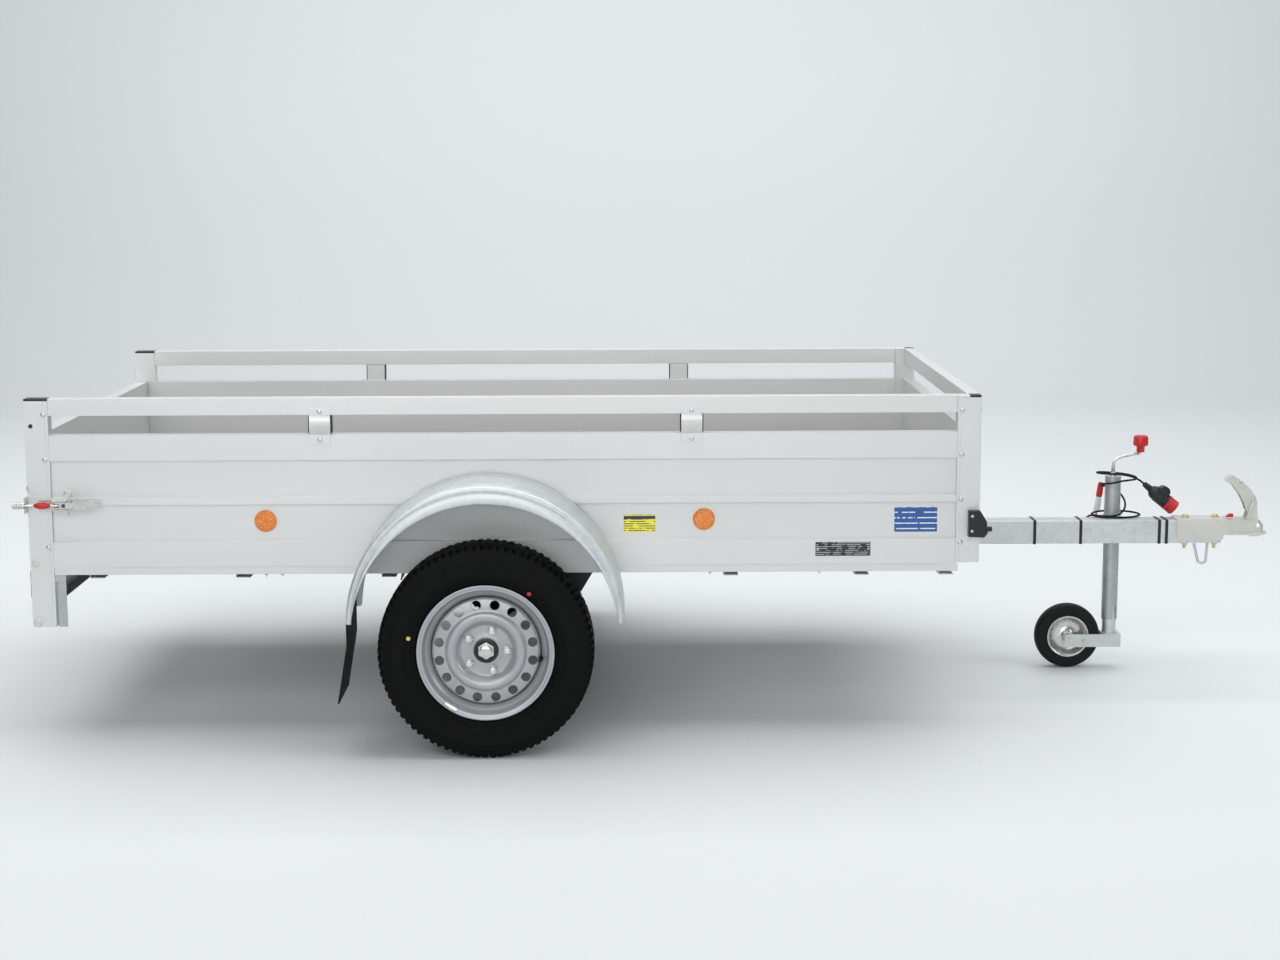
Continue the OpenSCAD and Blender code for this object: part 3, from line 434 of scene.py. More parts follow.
SLOT_FINISH = {
    "anodised_aluminium": "aluminium", "galvanised_steel": "galvanised", "zinc_plated": "zinc",
    "yellow_zinc": "yellow zinc", "silver_wheel": "silver", "black_plastic": "black plastic",
    "red_plastic": "red plastic", "orange_reflector": "amber", "plywood": "plywood",
    "tyre_rubber": "tyre", "black_rubber": "black rubber", "grey_tyre": "solid tyre",
    "black_paint": "black paint", "white_board": "white plastic",
}
# The jockey tube and the light beam take the darker galvanised copy, which is painted shade
OWN_FINISH = {"sills": "aluminium", "jockey_tube": "shade-darkened galvanised", "jockey_spindle": "galvanised",
              "jockey_leg": "galvanised", "coupling_body": "passivated", "coupling_head": "passivated",
              "coupling_handle": "passivated", "light_beam": "shade-darkened galvanised"}
NODE_SLOT = {entry["node"]: entry["material_slot"] for entry in frame["record"]["subparts"]}


# ---------------------------------------------------------------- making pieces

def rounded(points, radius, parts=4):
    """A closed outline with its corners turned into arcs."""
    out = []
    count = len(points)
    for place in range(count):
        here = Vector(points[place])
        back = Vector(points[place - 1]) - here
        ahead = Vector(points[(place + 1) % count]) - here
        half = back.angle(ahead) / 2
        reach = min(radius / math.tan(half), back.length * 0.45, ahead.length * 0.45)
        if reach < 1e-6 or half > 1.5:
            out.append(here)
            continue
        start = here + back.normalized() * reach
        end = here + ahead.normalized() * reach
        for part in range(parts + 1):
            share = part / parts
            out.append(start.lerp(here, share).lerp(here.lerp(end, share), share))
    return out


def ring_of(bm, points):
    """Puts a closed ring of edges in a bmesh."""
    verts = [bm.verts.new(point) for point in points]
    for place in range(len(verts)):
        bm.edges.new((verts[place - 1], verts[place]))
    return verts


def spun(outline, centre, axis="Y", steps=96, angle=TURN):
    """A closed outline (radius, side) turned about an axis through centre."""
    bm = bmesh.new()
    if axis == "Y":
        points = [Vector((point[0], point[1], 0)) for point in outline]
    else:
        points = [Vector((point[0], 0, point[1])) for point in outline]
    ring_of(bm, points)
    full = abs(angle - TURN) < 1e-6
    turn_about = Vector((0, -1, 0)) if axis == "Y" else Vector((0, 0, 1))
    bmesh.ops.spin(bm, geom=bm.verts[:] + bm.edges[:], cent=(0, 0, 0), axis=turn_about, dvec=(0, 0, 0),
                   angle=angle, steps=steps, use_merge=full, use_duplicate=False)
    bmesh.ops.translate(bm, verts=bm.verts[:], vec=centre)
    return bm


def slab(outline, thickness, plane="XZ"):
    """A flat outline given a thickness across its plane, centred on it."""
    bm = bmesh.new()
    if plane == "XZ":
        points = [Vector((x, -thickness / 2, z)) for x, z in outline]
        across = Vector((0, thickness, 0))
    elif plane == "XY":
        points = [Vector((x, y, -thickness / 2)) for x, y in outline]
        across = Vector((0, 0, thickness))
    else:
        points = [Vector((-thickness / 2, y, z)) for y, z in outline]
        across = Vector((thickness, 0, 0))
    face = bm.faces.new(ring_of(bm, points))
    raised = bmesh.ops.extrude_face_region(bm, geom=[face])
    moved = [item for item in raised["geom"] if isinstance(item, bmesh.types.BMVert)]
    bmesh.ops.translate(bm, verts=moved, vec=across)
    return bm


def block(start, end):
    bm = bmesh.new()
    bmesh.ops.create_cube(bm, size=1.0)
    start = Vector(start)
    end = Vector(end)
    bmesh.ops.scale(bm, vec=end - start, verts=bm.verts[:])
    bmesh.ops.translate(bm, vec=(start + end) / 2, verts=bm.verts[:])
    return bm


def round_bar(start, end, radius, sides=24, end_radius=None):
    """A straight round bar or cone between two points."""
    bm = bmesh.new()
    start = Vector(start)
    end = Vector(end)
    way = end - start
    bmesh.ops.create_cone(bm, cap_ends=True, segments=sides, radius1=radius,
                          radius2=radius if end_radius is None else end_radius, depth=way.length)
    turn = way.to_track_quat("Z", "Y").to_matrix().to_4x4()
    bmesh.ops.transform(bm, matrix=Matrix.Translation((start + end) / 2) @ turn, verts=bm.verts[:])
    return bm


def ring(centre, radius, wire, facing=(0, 1, 0), steps=40, sides=12):
    """A closed ring of round wire."""
    bm = bmesh.new()
    points = [Vector((radius + wire * math.cos(TURN * k / sides), 0, wire * math.sin(TURN * k / sides)))
              for k in range(sides)]
    ring_of(bm, points)
    bmesh.ops.spin(bm, geom=bm.verts[:] + bm.edges[:], cent=(0, 0, 0), axis=(0, 0, 1), dvec=(0, 0, 0),
                   angle=TURN, steps=steps, use_merge=True, use_duplicate=False)
    turn = Vector(facing).to_track_quat("Z", "Y").to_matrix().to_4x4()
    bmesh.ops.transform(bm, matrix=Matrix.Translation(Vector(centre)) @ turn, verts=bm.verts[:])
    return bm


def joined(*parts):
    """Several bmeshes as one."""
    whole = bmesh.new()
    for part in parts:
        shell = bpy.data.meshes.new("part")
        part.to_mesh(shell)
        part.free()
        whole.from_mesh(shell)
        bpy.data.meshes.remove(shell)
    return whole


def mirrored(bm):
    """Turns a left-hand piece into a right-hand one."""
    bmesh.ops.scale(bm, vec=(1, -1, 1), verts=bm.verts[:])
    return bm


def softened(piece, width, segments=2, limit=30):
    edge = piece.modifiers.new("rounded edges", "BEVEL")
    edge.width = width
    edge.segments = segments
    edge.limit_method = "ANGLE"
    edge.angle_limit = math.radians(limit)
    edge.harden_normals = False
    edge.use_clamp_overlap = True
    return piece


def add_piece(bm, name, body, finish, edge=0.0, replaces=(), crease=35, outward=True):
    """Turns a bmesh into a piece that rides on a body."""
    bmesh.ops.remove_doubles(bm, verts=bm.verts[:], dist=1e-6)
    if outward:
        bmesh.ops.recalc_face_normals(bm, faces=bm.faces[:])
    mesh = bpy.data.meshes.new(name)
    bm.to_mesh(mesh)
    bm.free()
    mesh.polygons.foreach_set("use_smooth", [True] * len(mesh.polygons))
    mesh.set_sharp_from_angle(angle=math.radians(crease))
    mesh.materials.append(finish_named(finish) if isinstance(finish, str) else finish)
    piece = bpy.data.objects.new(name, mesh)
    bpy.context.scene.collection.objects.link(piece)
    if edge:
        softened(piece, edge)
    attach(piece, body)
    if replaces:
        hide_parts(*replaces)
    return piece


def tube_along(points, radius, name, finish, body, resolution=6):
    """A round wire or cable along smooth points, as a curve."""
    curve = bpy.data.curves.new(name, "CURVE")
    curve.dimensions = "3D"
    curve.bevel_depth = radius
    curve.bevel_resolution = resolution
    curve.use_fill_caps = True
    spline = curve.splines.new("POLY")
    spline.points.add(len(points) - 1)
    for place, point in enumerate(points):
        spline.points[place].co = (*point, 1.0)
    spline.use_smooth = True
    curve.materials.append(finish_named(finish))
    piece = bpy.data.objects.new(name, curve)
    bpy.context.scene.collection.objects.link(piece)
    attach(piece, body)
    return piece


def smooth_path(points, parts=4):
    """Catmull-Rom points through the given ones."""
    out = []
    last = len(points) - 1
    for place in range(last):
        before, here, there, after = (Vector(points[max(0, min(last, place + k))])
                                      for k in (-1, 0, 1, 2))
        for part in range(parts):
            t = part / parts
            bend = 2 * before - 5 * here + 4 * there - after
            twist = 3 * here - before - 3 * there + after
            out.append(0.5 * (2 * here + (there - before) * t + bend * t * t + twist * t ** 3))
    out.append(Vector(points[last]))
    return out


def hexagon_bolt(centre, facing, width=0.016, height=0.007, thread=0.0):
    """Hexagon head with a chamfered crown."""
    facing = Vector(facing).normalized()
    centre = Vector(centre)
    head = bmesh.new()
    bmesh.ops.create_cone(head, cap_ends=True, segments=6, radius1=width / math.sqrt(3),
                          radius2=width / math.sqrt(3), depth=height)
    turn = facing.to_track_quat("Z", "Y").to_matrix().to_4x4()
    bmesh.ops.transform(head, matrix=Matrix.Translation(centre + facing * height / 2) @ turn,
                        verts=head.verts[:])
    top = centre + facing * height
    crown = round_bar(top, top + facing * 0.0012, width * 0.46, 24, width * 0.36)
    parts = [head, crown]
    if thread:
        parts.append(round_bar(top, top + facing * thread, width * 0.3, 20))
    return joined(*parts)


# ---------------------------------------------------------------- settings a user would change

class TrailerSizes(bpy.types.PropertyGroup):
    tread_blocks: bpy.props.IntProperty(name="Tread blocks",
                                        description="Blocks round the tyre's shoulder",
                                        default=84, min=24, max=120)
    tread_depth: bpy.props.FloatProperty(name="Tread depth",
                                         description="Depth of the shoulder grooves",
                                         default=0.006, min=0.002, max=0.008, unit="LENGTH")
    edge: bpy.props.FloatProperty(name="Edge radius", description="Rounding of folded and sawn edges",
                                  default=0.0012, min=0.0002, max=0.004, unit="LENGTH")
    floor_colour: bpy.props.FloatVectorProperty(name="Floor colour",
                                                description="Colour of the studio floor",
                                                subtype="COLOR", size=3, min=0, max=1,
                                                default=(0.74, 0.77, 0.78))


def sizes():
    return bpy.context.scene.trailer_sizes


# ---------------------------------------------------------------- operators

class TRAILER_OT_stage(bpy.types.Operator):
    """Lays the pale floor and its curved backdrop, sets the lights and the camera"""
    bl_idname = "trailer.stage"
    bl_label = "Stage"

    def execute(self, context):
        context.scene.view_settings.view_transform = "Standard"
        self.floor()
        self.lights()
        self.camera()
        return {"FINISHED"}

    def floor(self):
        near = -9.0
        far = 7.0
        profile = [(near, 0.0), (far, 0.0)]
        for part in range(1, 13):
            angle = math.pi / 2 * part / 12
            profile.append((far + 3.0 * math.sin(angle), 3.0 - 3.0 * math.cos(angle)))
        profile.append((far + 3.0, 9.0))
        bm = bmesh.new()
        verts = [bm.verts.new((-16.0, y, z)) for y, z in profile]
        edges = [bm.edges.new(pair) for pair in zip(verts, verts[1:])]
        wide = bmesh.ops.extrude_edge_only(bm, edges=edges)
        bmesh.ops.translate(bm, vec=(32.0, 0, 0),
                            verts=[item for item in wide["geom"]
                                   if isinstance(item, bmesh.types.BMVert)])
        bmesh.ops.recalc_face_normals(bm, faces=bm.faces[:])
        mesh = bpy.data.meshes.new("studio floor")
        bm.to_mesh(mesh)
        bm.free()
        mesh.polygons.foreach_set("use_smooth", [True] * len(mesh.polygons))
        finish = Finish("studio floor", tuple(sizes().floor_colour), 0.55)
        cloud = finish.noise(finish.place(), 0.8, 3.0, 0.5)
        finish.link("Roughness", (cloud * 0.15 + 0.45).clamped())
        mesh.materials.append(finish.material)
        floor = bpy.data.objects.new("studio_floor", mesh)
        bpy.context.scene.collection.objects.link(floor)

    def lights(self):
        world = bpy.data.worlds.new("studio")
        world.use_nodes = True
        world.node_tree.nodes["Background"].inputs["Color"].default_value = (0.93, 0.96, 1.0, 1.0)
        world.node_tree.nodes["Background"].inputs["Strength"].default_value = 0.16
        bpy.context.scene.world = world
        for name, place, aim, size, power in (
                ("overhead", (0.0, 0.2, 4.6), (0, 0, 0), (8.0, 5.0), 240),
                ("front", (-1.8, -6.0, 4.2), (0, 0, 0.3), (6.5, 2.2), 140),
                ("front fill", (-1.0, -8.6, 2.1), (0, 0, 0.5), (7.5, 1.8), 135),
                ("rear", (-6.0, 1.5, 3.0), (0, 0, 0.6), (3.5, 2.2), 50),
                ("coupling", (6.0, -2.5, 3.2), (0.6, 0, 0.5), (3.5, 2.2), 90),
                ("backdrop", (0.0, 4.5, 6.5), (0, 8.5, 2.0), (12.0, 3.0), 400)):
            lamp = bpy.data.lights.new(name, "AREA")
            lamp.shape = "RECTANGLE"
            lamp.size, lamp.size_y = size
            lamp.energy = power
            holder = bpy.data.objects.new(name, lamp)
            bpy.context.scene.collection.objects.link(holder)
            holder.location = place
            holder.rotation_euler = (Vector(aim) - Vector(place)).to_track_quat("-Z", "Y").to_euler()

    def camera(self):
        yaw, pitch, roll = -0.0079, 0.1522, -0.0033
        lens = bpy.data.cameras.new("camera")
        lens.sensor_width = 36.0
        lens.lens = 61.5
        ahead = (Vector((-math.sin(yaw), math.cos(yaw), 0)) * math.cos(pitch)
                 - Vector((0, 0, math.sin(pitch))))
        side = ahead.cross(Vector((0, 0, 1))).normalized()
        top = side.cross(ahead)
        right = side * math.cos(roll) + top * math.sin(roll)
        up = top * math.cos(roll) - side * math.sin(roll)
        holder = bpy.data.objects.new("camera", lens)
        bpy.context.scene.collection.objects.link(holder)
        turned = Matrix((right, up, -ahead)).transposed().to_4x4()
        holder.matrix_world = Matrix.Translation((WHEEL.x + 0.3643, -6.5617, 1.6107)) @ turned
        bpy.context.scene.camera = holder


class TRAILER_OT_cable(bpy.types.Operator):
    """Lays the supply cable on the drawbar, winds it round the jockey tube and ends it in its plug"""
    bl_idname = "trailer.cable"
    bl_label = "Supply cable"

    def execute(self, context):
        side = BAR_HALF + CABLE_R + 0.0002
        lie = BAR_TOP + CABLE_R
        x = WHEEL.x
        route = [
            (1.2345, side, 0.446), (1.42, side, 0.446), (1.60, side, 0.446), (1.72, side, 0.446),
            (1.75, side, 0.446), (1.768, side + 0.0004, 0.456), (1.78, side + 0.0008, 0.470),
            (1.79, side + 0.0004, 0.479), (1.799, 0.034, 0.4835), (1.812, 0.024, 0.482),
            (1.835, 0.010, lie),
            (1.870, 0.004, lie), (1.905, 0.008, lie), (1.934, 0.022, lie + 0.001),
            (1.950, 0.046, lie + 0.002),
            (1.944, 0.076, lie + 0.003), (1.918, 0.099, lie + 0.004), (1.880, 0.107, lie + 0.004),
            (1.842, 0.102, lie + 0.004), (1.816, 0.082, lie + 0.003), (1.806, 0.056, lie + 0.002),
            (1.818, 0.036, lie + 0.001), (1.848, 0.030, lie), (1.880, 0.032, lie + 0.003),
            (1.902, 0.045, 0.500),
            (1.909, 0.070, 0.520), (1.900, 0.096, 0.540), (1.874, 0.106, 0.555), (1.846, 0.101, 0.566),
            (1.834, 0.078, 0.573), (1.840, 0.050, 0.578), (1.862, 0.038, 0.582), (1.888, 0.035, 0.588),
            (1.914, 0.038, 0.591), (1.936, 0.052, 0.592), (1.942, 0.080, 0.595), (1.922, 0.105, 0.599),
            (1.888, 0.118, 0.602), (1.852, 0.114, 0.605), (1.828, 0.094, 0.608), (1.822, 0.066, 0.610),
            (1.836, 0.042, 0.611), (1.862, 0.032, 0.611), (1.892, 0.030, 0.609), (1.922, 0.031, 0.602),
            (1.943, 0.032, 0.592), (1.957, 0.032, 0.581)]
        route.append((1.957 + 0.0093, 0.032, 0.581 - 0.0076))
        points = smooth_path([(x + px, py, pz) for px, py, pz in route], 4)
        length = sum((b - a).length for a, b in zip(points, points[1:]))
        cable = tube_along(points, CABLE_R, "cable", "black rubber", "chassis")
        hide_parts("supply_cable")
        self.plug()
        return {"FINISHED"}

    def plug(self):
        """Ribbed tail, body with its round boss, red locking ring and its contacts."""
        start = Vector((WHEEL.x + 1.957, 0.032, 0.581))
        turn = Matrix.Translation(start) @ Matrix.Rotation(math.radians(129), 4, "Y")
        tail = [(0.0, 0.0), (0.0060, 0.0), (0.0078, 0.0012)]
        for place in range(5):
            z = 0.003 + place * 0.0048
            wide = 0.0086 + place * 0.0005
            tail += [(wide - 0.0014, z), (wide, z + 0.0008), (wide, z + 0.0028),
                     (wide - 0.0014, z + 0.0036)]
        tail += [(0.0110, 0.0275), (0.0150, 0.0300), (0.0192, 0.0365), (0.0208, 0.0405),
                 (0.0210, 0.0440),
                 (0.0210, 0.0760), (0.0204, 0.0768), (0.0204, 0.0788), (0.0224, 0.0800),
                 (0.0226, 0.0872),
                 (0.0218, 0.0880), (0.0, 0.0880)]
        body = spun(tail, (0, 0, 0), "Z", 72)
        boss = round_bar((-0.0200, 0.0130, 0.062), (-0.0200, -0.0192, 0.062), 0.0168, 56)
        rim = ring((-0.0200, -0.0192, 0.062), 0.0150, 0.0014, (0, 1, 0), 56, 8)
        dial = round_bar((-0.0200, -0.0190, 0.062), (-0.0200, -0.0200, 0.062), 0.0100, 40, 0.0094)
        key = block((0.0190, -0.0040, 0.050), (0.0222, 0.0040, 0.0790))
        whole = joined(body, boss, rim, dial, key)
        bmesh.ops.transform(whole, matrix=turn, verts=whole.verts[:])
        shell = add_piece(whole, "plug_shell", "chassis", "black plastic", edge=0.0006,
                          replaces=["plug_body"])
        collar = spun(((0.0, 0.0884), (0.0216, 0.0884), (0.0232, 0.0900), (0.0235, 0.0915),
                       (0.0235, 0.0965),
                       (0.0226, 0.0975), (0.0226, 0.1140), (0.0235, 0.1150), (0.0235, 0.1195),
                       (0.0222, 0.1218),
                       (0.0206, 0.1218), (0.0202, 0.0940), (0.0, 0.0940)), (0, 0, 0), "Z", 108)
        for vert in collar.verts:
            reach = math.hypot(vert.co.x, vert.co.y)
            if 0.0225 < reach < 0.0227:
                dip = 0.0008 * (0.5 - 0.5 * math.cos(18 * math.atan2(vert.co.y, vert.co.x)))
                vert.co.x *= 1 - dip / reach
                vert.co.y *= 1 - dip / reach
        pins = []
        for place in range(PLUG_PINS):
            angle = TURN * place / PLUG_PINS
            foot = Vector((0.012 * math.cos(angle), 0.012 * math.sin(angle), 0.0938))
            pins.append(round_bar(foot, foot + Vector((0, 0, 0.0202)), 0.0013, 12))
        pin_set = joined(*pins)
        bmesh.ops.transform(collar, matrix=turn, verts=collar.verts[:])
        bmesh.ops.transform(pin_set, matrix=turn, verts=pin_set.verts[:])
        ring_piece = add_piece(collar, "plug_collar", "chassis", "red plastic", edge=0.0004,
                               replaces=["plug_ring"])
        contacts = add_piece(pin_set, "plug_pins", "chassis", "yellow zinc")
        return [shell, ring_piece, contacts]


class TRAILER_OT_frame_finishes(bpy.types.Operator):
    """Gives every piece of the frame its finish, and rounded edges to all but the mudguards, supply cable
    and guide hoop
    """
    bl_idname = "trailer.frame_finishes"
    bl_label = "Frame finishes"

    def execute(self, context):
        edge = sizes().edge
        wide = {"mudguards": 0.0, "coupling_body": 0.003, "coupling_head": 0.003,
                "coupling_handle": 0.002,
                "supply_cable": 0.0, "marker_lamps": 0.002, "guide_hoop": 0.0, "post_caps": 0.002,
                "floor_board": 0.0006,
                "type_plate": 0.0004, "drawbar": 0.0045, "axle_beam": 0.004, "jockey_leg": 0.002,
                "crossmembers": 0.0008, "sills": 0.0008, "body_bolts": 0.0006, "cable_straps": 0.0004}
        for name, holder in frame["nodes"].items():
            mesh = holder.data
            mesh.materials.clear()
            mesh.materials.append(finish_named(OWN_FINISH.get(name) or SLOT_FINISH[NODE_SLOT[name]]))
            if "custom_normal" in mesh.attributes:
                mesh.attributes.remove(mesh.attributes["custom_normal"])
            mesh.polygons.foreach_set("use_smooth", [True] * len(mesh.polygons))
            weld = holder.modifiers.new("welded", "WELD")
            weld.merge_threshold = 1e-5
            width = wide.get(name, edge)
            if width:
                flat = holder.modifiers.new("flat faces", "DECIMATE")
                flat.decimate_type = "DISSOLVE"
                flat.angle_limit = math.radians(1.0)
                softened(holder, width, 2, 35)
                crisp = holder.modifiers.new("crisp", "WEIGHTED_NORMAL")
                crisp.keep_sharp = True
            else:
                holder.modifiers.new("crisp", "EDGE_SPLIT").split_angle = math.radians(40)
        return {"FINISHED"}


class TRAILER_OT_tyres(bpy.types.Operator):
    """Makes the two road tyres with their grooves, shoulder blocks and sidewall rings"""
    bl_idname = "trailer.tyres"
    bl_label = "Tyres"

    def execute(self, context):
        for side, sign in SIDES:
            bm = self.tyre()
            if sign < 0:
                mirrored(bm)
            add_piece(bm, f"road_tyre_{side}", f"wheel_{side}", "tyre", replaces=[f"tyre_{side}"],
                      crease=28)
            self.dots(side, sign)
        return {"FINISHED"}

    def outline(self):
        """The section from the inner bead round the outside and back along the lining."""
        r, top = RIM_R, WHEEL_R
        half = [(r - 0.010, 0.056), (r + 0.002, 0.0605), (r + 0.005, 0.066), (r + 0.012, 0.0715),
                (r + 0.0135, 0.0700), (r + 0.016, 0.0705), (r + 0.030, 0.0755), (r + 0.0315, 0.0768),
                (r + 0.034, 0.0768), (r + 0.0355, 0.0762), (r + 0.048, 0.0777), (r + 0.062, 0.0766),
                (r + 0.0635, 0.0772), (r + 0.067, 0.0766), (r + 0.0685, 0.0752), (r + 0.082, 0.0705),
                (top - 0.0125, 0.0672), (top - 0.0052, 0.0636), (top - 0.0018, 0.0585)]
        tread = [(top - 0.0008, 0.048), (top - 0.0006, 0.0355), (top - 0.0065, 0.0345),
                 (top - 0.0065, 0.0295),
                 (top - 0.0004, 0.0285), (top, 0.0165), (top - 0.0065, 0.0155), (top - 0.0065, 0.0105),
                 (top, 0.0095)]
        outer = half + tread
        lining = [(r - 0.010, 0.046), (r + 0.010, 0.052), (r + 0.046, 0.068), (r + 0.080, 0.060),
                  (top - 0.014, 0.044)]
        near = [(radius, -side) for radius, side in outer]
        far = [(radius, side) for radius, side in reversed(outer)]
        back = [(radius, -side) for radius, side in reversed(lining)]
        return near + far + lining + back

    def tyre(self):
        blocks = sizes().tread_blocks
        steps = blocks * 2
        centre = Vector((WHEEL.x, TRACK, WHEEL.z))
        bm = spun(self.outline(), centre, "Y", steps)
        bmesh.ops.recalc_face_normals(bm, faces=bm.faces[:])
        step = TURN / steps
        columns = {}
        for face in bm.faces:
            spot = face.calc_center_median() - centre
            radius = math.hypot(spot.x, spot.z)
            if radius < WHEEL_R - 0.017 or radius > WHEEL_R + 0.001:
                continue
            across = abs(spot.y)
            shoulder = across > 0.0370
            rib = 0.0175 < across < 0.0275 or across < 0.0088
            if not (shoulder or rib) or face.normal.dot(Vector((spot.x, 0, spot.z)).normalized()) < 0.1:
                continue
            column = int(round((math.atan2(spot.z, spot.x) % TURN) / step - 0.5))
            if shoulder and column % 2 == 0:
                columns.setdefault((column, spot.y > 0, "shoulder"), []).append(face)
            elif rib and column % 4 == (1 if spot.y > 0 else 3):
                columns.setdefault((column, spot.y > 0, "rib"), []).append(face)
        for (column, _, kind), faces in columns.items():
            kept = [face for face in faces if face.is_valid]
            bmesh.ops.inset_region(bm, faces=kept, thickness=0.0012 if kind == "shoulder" else 0.0022,
                                   depth=0.0, use_even_offset=True)
            angle = (column + 0.5) * step
            depth = sizes().tread_depth if kind == "shoulder" else RIB_DEPTH
            inward = Vector((math.cos(angle), 0, math.sin(angle))) * -depth
            bmesh.ops.translate(bm, vec=inward, verts=list({v for face in kept for v in face.verts}))
        return bm

    def dots(self, side, sign):
        """Small paint dots that mark the tyre's light and high spots."""
        for name, angle, radius in (("yellow", 168, 0.206), ("red", 54, 0.199)):
            spot = Vector((WHEEL.x + radius * math.cos(math.radians(angle)), sign * (TRACK + 0.0752),
                           WHEEL.z + radius * math.sin(math.radians(angle))))
            bm = round_bar(spot, spot + Vector((0, sign * 0.0016, 0)), 0.0058, 16, 0.005)
            add_piece(bm, f"tyre_dot_{name}_{side}", f"wheel_{side}", f"{name} dot")


